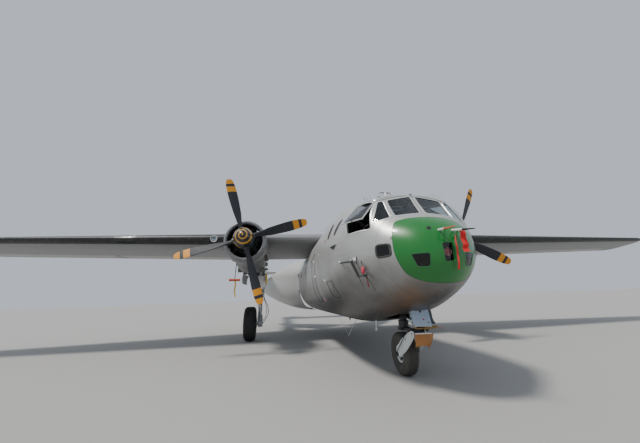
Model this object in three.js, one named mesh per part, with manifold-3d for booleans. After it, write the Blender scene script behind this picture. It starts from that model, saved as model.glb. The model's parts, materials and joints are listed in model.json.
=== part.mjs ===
import * as THREE from 'three';
import { mergeVertices } from 'three/addons/utils/BufferGeometryUtils.js';
import Module from 'manifold-3d';

// A high-wing transport with two booms, two engines and a load pod that opens in two halves.
// Millimetres, +Z up, nose towards -Y. Stations are counted aft from the tip of the nose.

const wasm = await Module();
wasm.setup();

const LENGTH = 21960;
const HALF_SPAN = 16250;
const NOSE_Y = -LENGTH / 2;
const GAP = 0.4;
const SEAT = 0.35;

const POD_WALL = 22;
const POD_SIDES = 24;
const WHEEL_SIDES = 20;
const POD_SPLIT = 3400;
const POD_END = 11200;
const CARGO_FLOOR_TOP = 1330;
const COCKPIT_FLOOR_TOP = 1900;

const ENGINE_X = 3800;
const THRUST_Z = 3545;
const PROP_STATION = 4900;
// How far the upper blades stand off upright, towards +X
const PORT_BLADE_LEAN = 25.1;
const STARBOARD_BLADE_LEAN = -15.7;
const BOOM_SPLIT = 11000;
const BOOM_WALL = 12;

const DOOR_HINGE_X = 1585;
const DOOR_HINGE_STATION = 11215;
const DOOR_OPEN_DEG = 48;

const WING_JOIN = 4560;
const WING_WALL = 24;
const CONTROL_HINGE = 0.74;
const CONTROL_CLEARANCE = 13;
const CONTROL_END_CLEARANCE = 20;
const CONTROL_PIN = 14;
const RUN = 0.45;

const MAIN_WHEEL_STATION = 8450;
const MAIN_TYRE_RADIUS = 672;
const MAIN_TYRE_WIDTH = 460;
const MAIN_TYRE_X = 3830;
const MAIN_LEG_X = 3420;
const NOSE_WHEEL_STATION = 2110;
const NOSE_TYRE_RADIUS = 425;
const NOSE_TYRE_WIDTH = 300;
const NOSE_PIVOT_STATION = 2000;

// Pod sections: station, half width, bottom, top, height of the widest point, upper and lower fullness.
const POD = [
  [0, 30, 2205, 2260, 2232, 2.0, 2.0],
  [40, 245, 2005, 2462, 2234, 2.0, 2.0],
  [120, 415, 1850, 2640, 2240, 2.0, 2.0],
  [320, 665, 1620, 2870, 2250, 2.05, 2.0],
  [580, 875, 1460, 3040, 2270, 2.2, 2.0],
  [800, 1020, 1385, 3300, 2290, 2.3, 2.02],
  [1040, 1165, 1330, 3580, 2320, 2.4, 2.05],
  [1600, 1370, 1235, 3840, 2380, 2.25, 2.1],
  [2200, 1485, 1140, 4030, 2420, 2.15, 2.15],
  [3000, 1540, 1015, 4165, 2450, 2.2, 2.2],
  [3800, 1550, 955, 4180, 2450, 2.3, 2.3],
  [5500, 1550, 950, 4180, 2450, 2.35, 2.35],
  [9300, 1550, 950, 4120, 2450, 2.4, 2.4],
  [11200, 1545, 955, 3930, 2430, 2.4, 2.4],
];

// The same for the closed tail of the pod, which the two doors share.
const TAIL_CONE = [
  [11210, 1545, 955, 3930, 2430, 2.4, 2.4],
  [12000, 1490, 1020, 3840, 2425, 2.35, 2.35],
  [13000, 1300, 1220, 3620, 2410, 2.25, 2.25],
  [14000, 980, 1520, 3280, 2390, 2.15, 2.15],
  [14800, 630, 1830, 2930, 2370, 2.05, 2.05],
  [15400, 300, 2090, 2650, 2360, 2.0, 2.0],
  [15650, 80, 2290, 2440, 2360, 2.0, 2.0],
];

// Wing: distance out, leading edge station and height, trailing edge height, chord, thickness ratio.
const WING = [
  [0, 6780, 3975, 3660, 4000, 0.155],
  [4560, 6780, 3975, 3660, 4000, 0.155],
  [15700, 7190, 4020, 3700, 1790, 0.125],
  [16080, 7300, 4010, 3730, 1480, 0.115],
  [16250, 7560, 3990, 3790, 900, 0.1],
];

// Nacelle and boom: station, half width, half height, centre height, fullness.
const BOOM = [
  [6480, 640, 690, 3540, 2.1],
  [7400, 620, 770, 3440, 2.3],
  [8600, 570, 770, 3380, 2.4],
  [9800, 470, 650, 3400, 2.4],
  [11000, 380, 505, 3450, 2.3],
  [13500, 330, 415, 3530, 2.2],
  [17000, 280, 360, 3610, 2.2],
  [19500, 240, 310, 3660, 2.2],
  [20780, 170, 220, 3690, 2.1],
];

// Fin: height, leading edge station, trailing edge station, half thickness.
const FIN = [
  [2960, 19950, 21250, 30],
  [3150, 19350, 21750, 80],
  [3700, 18700, 21930, 140],
  [4600, 18880, 21960, 125],
  [5300, 19230, 21940, 95],
  [5720, 19600, 21860, 65],
  [5930, 19980, 21650, 40],
  [6000, 20450, 21350, 18],
];

// Tailplane: distance out, leading edge station, chord, height, thickness ratio.
const TAILPLANE = [
  [0, 18850, 2020, 3740, 0.1],
  [3660, 18850, 2020, 3740, 0.1],
];

// Blade: radius, chord, thickness, pitch in degrees.
const BLADE = [
  [200, 170, 130, 62],
  [480, 195, 100, 57],
  [900, 310, 62, 44],
  [1500, 345, 38, 32],
  [1850, 310, 26, 26],
  [2050, 240, 18, 23],
  [2135, 120, 12, 22],
];

const CHORD_STEPS = [0, 0.0125, 0.05, 0.13, 0.25, 0.4, 0.55, 0.7, 0.85, 1];

const station = (s) => NOSE_Y + s;
const point = (x, y, z) => new THREE.Vector3(x, y, z);

function indexed(positions, index) {
  const geometry = new THREE.BufferGeometry();
  geometry.setAttribute('position', new THREE.BufferAttribute(new Float32Array(positions), 3));
  geometry.setIndex(index);
  return geometry;
}

function signedVolume(positions, index) {
  let total = 0;
  for (let i = 0; i < index.length; i += 3) {
    const [a, b, c] = [index[i] * 3, index[i + 1] * 3, index[i + 2] * 3];
    const cross = [
      positions[b + 1] * positions[c + 2] - positions[b + 2] * positions[c + 1],
      positions[b + 2] * positions[c] - positions[b] * positions[c + 2],
      positions[b] * positions[c + 1] - positions[b + 1] * positions[c],
    ];
    total += positions[a] * cross[0] + positions[a + 1] * cross[1] + positions[a + 2] * cross[2];
  }
  return total;
}

// A closed skin over rings of the same number of points, with a fan at each end
function loft(rings) {
  const count = rings[0].length;
  const positions = [];
  rings.forEach((ring) => ring.forEach((p) => positions.push(p.x, p.y, p.z)));
  const index = [];
  for (let r = 0; r + 1 < rings.length; r += 1) {
    for (let i = 0; i < count; i += 1) {
      const a = r * count + i;
      const b = r * count + ((i + 1) % count);
      index.push(a, b, b + count, a, b + count, a + count);
    }
  }
  [0, rings.length - 1].forEach((r) => {
    const centre = rings[r].reduce((sum, p) => sum.add(p), point(0, 0, 0)).divideScalar(count);
    const hub = positions.length / 3;
    positions.push(centre.x, centre.y, centre.z);
    for (let i = 0; i < count; i += 1) {
      const a = r * count + i;
      const b = r * count + ((i + 1) % count);
      if (r === 0) {
        index.push(b, a, hub);
      } else {
        index.push(a, b, hub);
      }
    }
  });
  if (signedVolume(positions, index) < 0) {
    for (let i = 0; i < index.length; i += 3) {
      [index[i], index[i + 1]] = [index[i + 1], index[i]];
    }
  }
  return indexed(positions, index);
}

function toSolid(geometry) {
  const plain = geometry.clone();
  plain.deleteAttribute('normal');
  plain.deleteAttribute('uv');
  const merged = mergeVertices(plain, 1e-3);
  return new wasm.Manifold(new wasm.Mesh({
    numProp: 3,
    vertProperties: new Float32Array(merged.attributes.position.array),
    triVerts: new Uint32Array(merged.index.array),
  }));
}

function toGeometry(solid, origin) {
  const mesh = solid.getMesh();
  const geometry = indexed(mesh.vertProperties, Array.from(mesh.triVerts));
  geometry.translate(-origin.x, -origin.y, -origin.z);
  geometry.computeVertexNormals();
  return geometry;
}

const loftSolid = (rings) => toSolid(loft(rings));

function box(low, high) {
  const geometry = new THREE.BoxGeometry(high[0] - low[0], high[1] - low[1], high[2] - low[2]);
  geometry.translate((low[0] + high[0]) / 2, (low[1] + high[1]) / 2, (low[2] + high[2]) / 2);
  return toSolid(geometry);
}

// A round bar between two points, thick at one end and thin at the other if the radii differ
function rod(start, end, radius, endRadius = radius, sides = 16) {
  const along = end.clone().sub(start);
  const geometry = new THREE.CylinderGeometry(endRadius, radius, along.length(), sides);
  const turn = new THREE.Quaternion().setFromUnitVectors(point(0, 1, 0), along.clone().normalize());
  geometry.applyQuaternion(turn);
  const middle = start.clone().add(end).multiplyScalar(0.5);
  geometry.translate(middle.x, middle.y, middle.z);
  return toSolid(geometry);
}

// An outline in two axes pushed along the third
function prism(outline, axis, from, to) {
  const rings = [from, to].map((depth) => outline.map(([u, v]) => {
    if (axis === 'x') {
      return point(depth, u, v);
    }
    if (axis === 'y') {
      return point(u, depth, v);
    }
    return point(u, v, depth);
  }));
  return loftSolid(rings);
}

function oval(centreU, centreV, halfU, halfV, sides = 10) {
  return Array.from({ length: sides }, (_, i) => {
    const angle = (i / sides) * Math.PI * 2;
    return [centreU + halfU * Math.cos(angle), centreV + halfV * Math.sin(angle)];
  });
}

// Joins values of a section table at any station
function along(table, position) {
  let i = 0;
  while (i < table.length - 2 && position > table[i + 1][0]) {
    i += 1;
  }
  const [a, b] = [table[i], table[i + 1]];
  const t = (position - a[0]) / (b[0] - a[0]);
  return a.map((value, k) => value + (b[k] - value) * t);
}

function rounded(angle, power) {
  const c = Math.cos(angle);
  const s = Math.sin(angle);
  return [Math.sign(c) * Math.abs(c) ** (2 / power), Math.sign(s) * Math.abs(s) ** (2 / power)];
}

function podRing(row, inset, sides) {
  const [s, halfWidth, low, high, middle, upper, lower] = row;
  const blunt = Math.max(0, 1 - s / 1000) * inset;
  return Array.from({ length: sides }, (_, i) => {
    const angle = (i / sides) * Math.PI * 2;
    const isTop = Math.sin(angle) >= 0;
    const [c, d] = rounded(angle, isTop ? upper : lower);
    const reach = isTop ? high - inset - middle : middle - low - inset;
    return point(c * (halfWidth - inset), station(s + blunt), middle + d * reach);
  });
}

function podBody(table, from, to, inset, sides = POD_SIDES) {
  const rows = table.filter((row) => row[0] > from && row[0] < to);
  const all = [along(table, from), ...rows, along(table, to)];
  return loftSolid(all.map((row) => podRing(row, inset, sides)));
}

// Half the depth of a wing section at a fraction of its chord
function thicknessAt(f, ratio, chord) {
  const shape = 0.2969 * Math.sqrt(f) - 0.126 * f - 0.3516 * f * f + 0.2843 * f ** 3 - 0.1036 * f ** 4;
  return 5 * ratio * chord * shape;
}

function wingProfile(leading, trailing, chord, thickness, grow, bow) {
  const half = (f) => thicknessAt(f, thickness, chord) + 4;
  const line = (f) => leading[1] + (trailing[1] - leading[1]) * f + bow * chord * 4 * f * (1 - f);
  const reach = (f) => leading[0] + f * chord + (f === 0 ? -grow : 0) + (f === 1 ? grow : 0);
  const upper = CHORD_STEPS.map((f) => [reach(f), line(f) + half(f) + grow]).reverse();
  const lower = CHORD_STEPS.map((f) => [reach(f), line(f) - half(f) - grow]);
  return [...upper, ...lower];
}

function wingRing(distance, side, grow) {
  const [, lead, leadZ, trailZ, chord, ratio] = along(WING, Math.abs(distance));
  const outline = wingProfile([station(lead), leadZ], [0, trailZ], chord, ratio, grow, 0.018);
  return outline.map(([y, z]) => point(side * distance, y, z));
}

// Extra sections keep the long tapered skins straight between the tips and the joint
const WING_RIBS = [6500, 9690, 12700];

function wingBody(from, to, side, grow = 0) {
  const inner = [...WING.map((row) => row[0]), ...WING_RIBS].sort((a, b) => a - b).filter((x) => x > from && x < to);
  return loftSolid([from, ...inner, to].map((x) => wingRing(x, side, grow)));
}

const CENTRE_STEPS = [0.04, 0.12, 0.3, 0.5, 0.7, 0.86];
const OUTER_STEPS = [0.06, 0.15, 0.3, 0.48, 0.63];

// Open space inside the skins, which makes the wing a box
function wingHollow(from, to, side, steps) {
  const rings = [from, WING_JOIN, to].sort((a, b) => a - b).map((x) => {
    const [, lead, leadZ, trailZ, chord, ratio] = along(WING, Math.abs(x));
    const line = (f) => leadZ + (trailZ - leadZ) * f + 0.018 * chord * 4 * f * (1 - f);
    const half = (f) => thicknessAt(f, ratio, chord) - WING_WALL - 6;
    const upper = steps.map((f) => [lead + f * chord, line(f) + half(f)]);
    const lower = steps.map((f) => [lead + f * chord, line(f) - half(f)]).reverse();
    return [...upper, ...lower].map(([s, z]) => point(side * x, station(s), z));
  });
  return loftSolid(rings);
}

function hingePoint(distance, side) {
  const [, lead, leadZ, trailZ, chord] = along(WING, distance);
  const z = leadZ + (trailZ - leadZ) * CONTROL_HINGE
    + 0.018 * chord * 4 * CONTROL_HINGE * (1 - CONTROL_HINGE);
  return point(side * distance, station(lead + CONTROL_HINGE * chord), z);
}

function hingeRadius(distance) {
  const [, , , , chord, ratio] = along(WING, distance);
  return thicknessAt(CONTROL_HINGE, ratio, chord) + 6;
}

// A circle square to one axis
function circle(centre, radius, axis, sides = 14) {
  return Array.from({ length: sides }, (_, i) => {
    const angle = ((i + 0.5) / sides) * Math.PI * 2;
    const u = radius * Math.cos(angle);
    const v = radius * Math.sin(angle);
    return axis === 'x'
      ? point(centre.x, centre.y + u, centre.z + v)
      : point(centre.x + u, centre.y + v, centre.z);
  });
}

// Splits a hinged surface off a wing or fin: the moving part keeps a round nose about its hinge.
// The hinge line is given by points, each with the radius of the nose there.
function hinged(body, line, radii, axis, lowerLip = false) {
  const [start, end] = [line[0], line[line.length - 1]];
  const length = end.clone().sub(start);
  const spread = CONTROL_END_CLEARANCE / Math.abs(axis === 'x' ? length.x : length.z);
  const wideStart = start.clone().sub(length.clone().multiplyScalar(spread));
  const wideEnd = end.clone().add(length.clone().multiplyScalar(spread));
  const aft = (a, b, forward, low) => loftSolid([a, b].map((p) => (axis === 'x'
    ? [
      point(p.x, p.y - forward, p.z - 900),
      point(p.x, p.y + 2600, p.z - 900),
      point(p.x, p.y + 2600, p.z + low),
      point(p.x, p.y - forward, p.z + low),
    ]
    : [
      point(p.x - 700, p.y - forward, p.z),
      point(p.x - 700, p.y + 2600, p.z),
      point(p.x + 700, p.y + 2600, p.z),
      point(p.x + 700, p.y - forward, p.z),
    ])));
  const nose = loftSolid(line.map((p, i) => circle(p, radii[i], axis)));
  const cove = loftSolid([wideStart, ...line.slice(1, -1), wideEnd]
    .map((p, i) => circle(p, radii[i] + CONTROL_CLEARANCE, axis)));
  let fixed = body.subtract(aft(wideStart, wideEnd, 0, 900)).subtract(cove);
  if (lowerLip) {
    fixed = fixed.subtract(aft(wideStart, wideEnd, Math.max(...radii) * 0.92, 0));
  }
  // Short pins carry the surface in the wing at both ends
  const reach = length.clone().normalize().multiplyScalar(CONTROL_END_CLEARANCE + 45);
  const inward = length.clone().normalize().multiplyScalar(30);
  const pins = (radius, extra) => rod(start.clone().sub(reach).addScaledVector(length, -extra),
    start.clone().add(inward), radius, radius, 12)
    .add(rod(end.clone().sub(inward), end.clone().add(reach).addScaledVector(length, extra), radius, radius, 12));
  const moving = body.intersect(aft(start, end, 0, 900)).add(nose).add(pins(CONTROL_PIN, 0));
  return { fixed: fixed.subtract(pins(CONTROL_PIN + RUN + 0.5, 0.0002)), moving };
}

const finish = (color, roughness, metalness = 0) => ({ color, roughness, metalness });
const SILVER = finish(0xb9bab8, 0.42, 0.25);
const GREEN = finish(0x0f7a2f, 0.22);
const GREY = finish(0x8d9092, 0.5, 0.2);
const DARK_GREY = finish(0x56595c, 0.6, 0.15);
const CHARCOAL = finish(0x2b2f36, 0.55, 0.1);
const BLACK = finish(0x17181a, 0.45);
const STEEL = finish(0x9aa0a6, 0.4, 0.6);
const IRON = finish(0x3b3b3c, 0.55, 0.5);
const RUBBER = finish(0x1b1b1c, 0.9);
const WORN_RUBBER = finish(0x4c4a47, 0.9);
const PANEL = finish(0x2d3032, 0.7);
const CLOTH = finish(0x4a4f3f, 0.9);
const GLASS = finish(0x1d252b, 0.05);

const plane = new THREE.Group();

function piece(name, solid, look, parent = plane, origin = point(0, 0, 0)) {
  const material = new THREE.MeshStandardMaterial(look);
  const mesh = new THREE.Mesh(toGeometry(solid, origin), material);
  mesh.name = name;
  parent.add(mesh);
  return mesh;
}

function pivot(origin, parent = plane, parentOrigin = point(0, 0, 0)) {
  const group = new THREE.Group();
  group.position.copy(origin.clone().sub(parentOrigin));
  parent.add(group);
  return group;
}

// Pod shell, open at the rear and split at the production break
const podOuter = podBody(POD, 0, POD_END, 0);
const podInner = podBody(POD, 0, POD_END + 20, POD_WALL);
const podClear = podBody(POD, 0, POD_END + 20, -GAP);
const podShell = podOuter.subtract(podInner);
const wingSlot = wingBody(0, WING_JOIN, 1, GAP).add(wingBody(0, WING_JOIN, -1, GAP));

// The nose cap ends on a plane that leans aft at the top and stops below the windscreen
const capEdge = (grow) => prism([
  [station(-100), 1500],
  [station(55) + grow, 1500],
  [station(690) + grow, 2975 + grow],
  [station(-100), 2975 + grow],
], 'x', -1200, 1200);
const capZone = capEdge(0);

// Panes cut straight aft, given from ahead as distance out and height
const FRONT_PANES = [
  [[55, 3085], [490, 3045], [520, 3465], [45, 3545]],
  [[595, 3055], [870, 2985], [665, 3425], [605, 3445]],
];
// Panes cut straight across, as station and height
const SIDE_PANE = [[1200, 3505], [1760, 3625], [1450, 3070], [1330, 2865], [880, 2855]];
const LOWER_PANE = [[470, 2290], [700, 2270], [700, 2480], [500, 2480]];
const OVALS = [[2090, 3195, 85, 180], [2680, 3220, 85, 180]];

const mirrored = (outline) => outline.map(([u, v]) => [-u, v]);
const asStations = (outline) => outline.map(([s, z]) => [station(s), z]);

let noseShell = podShell.intersect(box([-3000, station(-200), 0], [3000, station(POD_SPLIT) - GAP / 2, 6000]));
FRONT_PANES.forEach((outline) => {
  noseShell = noseShell.subtract(prism(outline, 'y', station(300), station(1500)));
  noseShell = noseShell.subtract(prism(mirrored(outline), 'y', station(300), station(1500)));
});
[SIDE_PANE, LOWER_PANE, ...OVALS.map((o) => oval(o[0], o[1], o[2], o[3]))].forEach((outline) => {
  noseShell = noseShell.subtract(prism(asStations(outline), 'x', 560, 2000));
  noseShell = noseShell.subtract(prism(asStations(outline), 'x', -2000, -560));
});
// Bay that the nose wheel folds into
const noseBay = box([-230, station(1640), 900], [230, station(2620), 1500]);
piece('nose_cap', noseShell.intersect(capZone), GREEN);
piece('front_hull', noseShell.subtract(capEdge(GAP)).subtract(noseBay), SILVER);

// Load pod with the wing through its roof, a crew door and round lights
const CREW_DOOR = [3720, 4520, 1400, 3020];
const crewOutline = (grow) => [
  [station(CREW_DOOR[0]) - grow, CREW_DOOR[2] - grow],
  [station(CREW_DOOR[1]) + grow, CREW_DOOR[2] - grow],
  [station(CREW_DOOR[1]) + grow, CREW_DOOR[3] + grow],
  [station(CREW_DOOR[0]) - grow, CREW_DOOR[3] + grow],
];
const mainZone = box([-3000, station(POD_SPLIT) + GAP / 2, 0], [3000, station(POD_END) + 50, 6000]);
let mainShell = podShell.intersect(mainZone).subtract(wingSlot);
mainShell = mainShell.subtract(prism(crewOutline(8), 'x', 800, 2000));
[5600, 7700, 9800].forEach((s) => {
  mainShell = mainShell.subtract(prism(oval(station(s), 2750, 150, 150), 'x', -2000, -800));
  mainShell = mainShell.subtract(prism(oval(station(s), 2750, 150, 150), 'x', 800, 2000));
});
// Upright hinge lugs: the pod's ears carry the pin, the door's knuckle turns on it
const knuckle = (x, y, z, radius, halfHeight) => rod(point(x, y, z - halfHeight), point(x, y, z + halfHeight), radius,
  radius, 12);
const bored = (radius) => radius / Math.cos(Math.PI / 12) + 0.08;
function podEars(x, y, z, reach, pinRadius, bossRadius) {
  const side = Math.sign(x);
  let ears = knuckle(x, y, z, pinRadius, 66);
  [-1, 1].forEach((end) => {
    const middle = z + end * 52;
    ears = ears.add(knuckle(x, y, middle, bossRadius, 14));
    const near = Math.abs(x) - bossRadius * 0.5;
    const inner = Math.abs(x) - reach;
    const edges = [side * inner, side * near].sort((a, b) => a - b);
    ears = ears.add(box([edges[0], y - 110, middle - 14], [edges[1], y - bossRadius * 0.55, middle + 14]));
  });
  return ears;
}
const TAIL_HINGE_HEIGHTS = [1980, 2850];
const tailHinge = (side) => point(side * DOOR_HINGE_X, station(DOOR_HINGE_STATION), 2430);
const CREW_HINGE_X = 1580;
const CREW_HINGE_HEIGHTS = [2100, 2700];
const crewHinge = point(CREW_HINGE_X, station(CREW_DOOR[0] - 16), 2400);
TAIL_HINGE_HEIGHTS.forEach((z) => {
  [-1, 1].forEach((side) => {
    const ears = podEars(side * DOOR_HINGE_X, station(DOOR_HINGE_STATION), z, 130, 20, 32);
    mainShell = mainShell.add(ears.subtract(podInner));
  });
});
CREW_HINGE_HEIGHTS.forEach((z) => {
  mainShell = mainShell.add(podEars(crewHinge.x, crewHinge.y, z, 95, 14, 22).subtract(podInner));
});
piece('main_pod', mainShell, SILVER);

const crewGroup = pivot(crewHinge);
let crewPanel = podOuter.subtract(podInner).intersect(prism(crewOutline(0), 'x', 800, 2000));
CREW_HINGE_HEIGHTS.forEach((z) => {
  const strap = box([crewHinge.x - 90, crewHinge.y + 26, z - 30], [crewHinge.x + 8, crewHinge.y + 90, z + 30])
    .add(box([crewHinge.x - 8, crewHinge.y, z - 30], [crewHinge.x + 8, crewHinge.y + 40, z + 30]))
    .add(knuckle(crewHinge.x, crewHinge.y, z, 22, 30));
  crewPanel = crewPanel.add(strap.subtract(podInner)).subtract(knuckle(crewHinge.x, crewHinge.y, z, bored(14), 40));
});
piece('crew_door', crewPanel, SILVER, crewGroup, crewHinge);

// Floors and the wall between cockpit and hold
const inside = podBody(POD, 0, POD_END + 20, POD_WALL + GAP);
piece('cargo_floor', inside.intersect(box(
  [-2000, station(POD_SPLIT) + 40, CARGO_FLOOR_TOP - 60],
  [2000, station(POD_END) - 5, CARGO_FLOOR_TOP],
)), DARK_GREY);
piece('cockpit_floor', inside.intersect(box(
  [-2000, station(1000), COCKPIT_FLOOR_TOP - 40],
  [2000, station(POD_SPLIT) - 10, COCKPIT_FLOOR_TOP],
)), DARK_GREY);
piece('cabin_wall', inside.intersect(box(
  [-2000, station(POD_SPLIT) - 9.6, 700],
  [2000, station(POD_SPLIT) + 25, 4300],
)).subtract(box([-380, station(POD_SPLIT) - 60, 1900], [380, station(POD_SPLIT) + 60, 3700])), PANEL);

// Instrument panel under a hood, standing on a pedestal
const panelFace = prism([
  [station(1010), COCKPIT_FLOOR_TOP + GAP],
  [station(1180), COCKPIT_FLOOR_TOP + GAP],
  [station(1260), 2700],
  [station(1300), 3000],
  [station(920), 3000],
  [station(940), 2880],
], 'x', -900, 900);
const pedestal = box([-170, station(1100), COCKPIT_FLOOR_TOP + GAP], [170, station(1650), 2480]);
piece('instrument_panel', podBody(POD, 0, POD_END + 20, POD_WALL + 12).intersect(panelFace.add(pedestal)), PANEL);

// Seats for the two pilots
[['seat_port', 1], ['seat_starboard', -1]].forEach(([name, side]) => {
  const x = side * 520;
  const post = box([x - 110, station(1780), COCKPIT_FLOOR_TOP + GAP], [x + 110, station(2060), 2320]);
  const pan = box([x - 240, station(1660), 2300], [x + 240, station(2140), 2400]);
  const back = prism([
    [station(2080), 2350],
    [station(2160), 2350],
    [station(2270), 3150],
    [station(2190), 3150],
  ], 'x', x - 230, x + 230);
  piece(name, post.add(pan).add(back), CLOTH);
});

// One lining of glass behind all the cockpit panes except the open one to starboard
const liningInner = podBody(POD, 0, POD_END + 20, POD_WALL + GAP + 10);
const openSide = prism(asStations([[1300, 3900], [2100, 3900], [2100, 2700], [650, 2700], [850, 2830], [1170, 3530]]),
  'x', -2000, -300);
const lining = inside.subtract(liningInner)
  .intersect(box([-2000, station(575), 2990], [2000, station(1900), 3900])
    .add(box([-2000, station(800), 2830], [2000, station(1900), 3900])))
  .subtract(openSide)
  .subtract(box([-850, station(800), 2800], [850, station(1310), 2990]));
piece('windscreen', lining, GLASS);

// The starboard side light stands open on its top edge, given by its four corners
const SASH = [[-670, 1200, 3510], [-880, 1770, 3630], [-1413, 1266, 3032], [-1148, 801, 3019]]
  .map(([x, s, z]) => point(x, station(s), z));
const sashNormal = SASH[1].clone().sub(SASH[0]).cross(SASH[3].clone().sub(SASH[0])).normalize();
if (sashNormal.x > 0) {
  sashNormal.negate();
}
const sashSlab = (from, to, shrink) => {
  const middle = SASH.reduce((sum, p) => sum.add(p), point(0, 0, 0)).divideScalar(4);
  const corners = SASH.map((p) => p.clone().lerp(middle, shrink));
  return loftSolid([from, to].map((d) => corners.map((p) => p.clone().addScaledVector(sashNormal, d))));
};
const sash = sashSlab(2, 26, 0).subtract(sashSlab(-20, 50, 0.16)).add(sashSlab(11, 17, 0.15));
piece('side_sash', sash.subtract(podClear), GREY, pivot(SASH[0]), SASH[0]);

// Clamshell doors, swung out about upright hinges behind the pod
const coneInner = podBody(TAIL_CONE, 11200, 15600, POD_WALL);
const coneShell = podBody(TAIL_CONE, 11210, 15650, 0).subtract(coneInner);
[['door_port', 1], ['door_starboard', -1]].forEach(([name, side]) => {
  const half = side > 0 ? box([4, station(11000), 0], [3000, station(16000), 6000])
    : box([-3000, station(11000), 0], [-4, station(16000), 6000]);
  const hinge = tailHinge(side);
  const group = pivot(hinge);
  let leaf = coneShell.intersect(half);
  TAIL_HINGE_HEIGHTS.forEach((z) => {
    const far = [side * (DOOR_HINGE_X - 118), side * (DOOR_HINGE_X + 12)].sort((a, b) => a - b);
    const strap = box([far[0], hinge.y + 20, z - 30], [far[1], hinge.y + 95, z + 30])
      .add(knuckle(hinge.x, hinge.y, z, 32, 30));
    leaf = leaf.add(strap.subtract(coneInner)).subtract(knuckle(hinge.x, hinge.y, z, bored(20), 40));
  });
  group.rotation.z = -side * THREE.MathUtils.degToRad(DOOR_OPEN_DEG);
  piece(name, leaf, SILVER, group, hinge);
});

// Wing centre through the pod and both nacelles, then the two outer panels
const centre = wingBody(0, WING_JOIN - GAP, 1).add(wingBody(0, WING_JOIN - GAP, -1))
  .subtract(wingHollow(-10, WING_JOIN + 50, 1, CENTRE_STEPS))
  .subtract(wingHollow(-10, WING_JOIN + 50, -1, CENTRE_STEPS));
piece('wing_centre', centre, GREY);

[['port', 1], ['starboard', -1]].forEach(([word, side]) => {
  const outer = wingBody(WING_JOIN, HALF_SPAN, side).subtract(wingHollow(WING_JOIN - 50, 14800, side, OUTER_STEPS));
  const flapEnds = [4700, 9600];
  const aileronEnds = [9780, 15400];
  const flapLine = flapEnds.map((x) => hingePoint(x, side));
  const aileronLine = aileronEnds.map((x) => hingePoint(x, side));
  const first = hinged(outer, flapLine, flapEnds.map(hingeRadius), 'x', true);
  const second = hinged(first.fixed, aileronLine, aileronEnds.map(hingeRadius), 'x');
  piece(`wing_${word}`, second.fixed, GREY);
  const flapGroup = pivot(flapLine[0]);
  piece(`flap_${word}`, first.moving, GREY, flapGroup, flapLine[0]);
  const aileronGroup = pivot(aileronLine[0]);
  piece(`aileron_${word}`, second.moving, GREY, aileronGroup, aileronLine[0]);
});

function boomRing(row, side, inset) {
  const [s, halfWidth, halfHeight, middle, power] = row;
  return Array.from({ length: 14 }, (_, i) => {
    const [c, d] = rounded((i / 14) * Math.PI * 2, power);
    return point(side * ENGINE_X + c * (halfWidth - inset), station(s), middle + d * (halfHeight - inset));
  });
}

function boomBody(from, to, side, inset) {
  const rows = BOOM.filter((row) => row[0] > from && row[0] < to);
  return loftSolid([along(BOOM, from), ...rows, along(BOOM, to)].map((row) => boomRing(row, side, inset)));
}

// Share of the chord and share of the half thickness
const FIN_SHAPE = [[0, 0.12], [0.02, 0.45], [0.08, 0.78], [0.25, 1], [0.45, 0.96], [0.7, 0.62], [1, 0.06]];
const RUDDER_HINGE_STATION = 20990;

function finBody(side, grow = 0) {
  const ends = (f, lead, chord) => station(lead + f * chord) + (f === 0 ? -grow : 0) + (f === 1 ? grow : 0);
  const rings = FIN.map(([z, lead, trail, half]) => {
    const chord = trail - lead;
    const right = FIN_SHAPE.map(([f, t]) => [side * ENGINE_X + half * t + grow, ends(f, lead, chord)]);
    const left = FIN_SHAPE.map(([f, t]) => [side * ENGINE_X - half * t - grow, ends(f, lead, chord)]);
    return [...right, ...left.reverse()].map(([x, y]) => point(x, y, z));
  });
  return loftSolid(rings);
}

function rudderNoseRadius(height) {
  const [, lead, trail, half] = along(FIN, height);
  return half * along(FIN_SHAPE, (RUDDER_HINGE_STATION - lead) / (trail - lead))[1] + 5;
}

const TAIL_HINGE = 0.62;
function tailplaneBody(limit, grow = 0) {
  return loftSolid([-limit, limit].map((x) => {
    const [, lead, chord, z, ratio] = TAILPLANE[0];
    return wingProfile([station(lead), z], [0, z], chord, ratio, grow, 0).map(([y, h]) => point(x, y, h));
  }));
}

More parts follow.
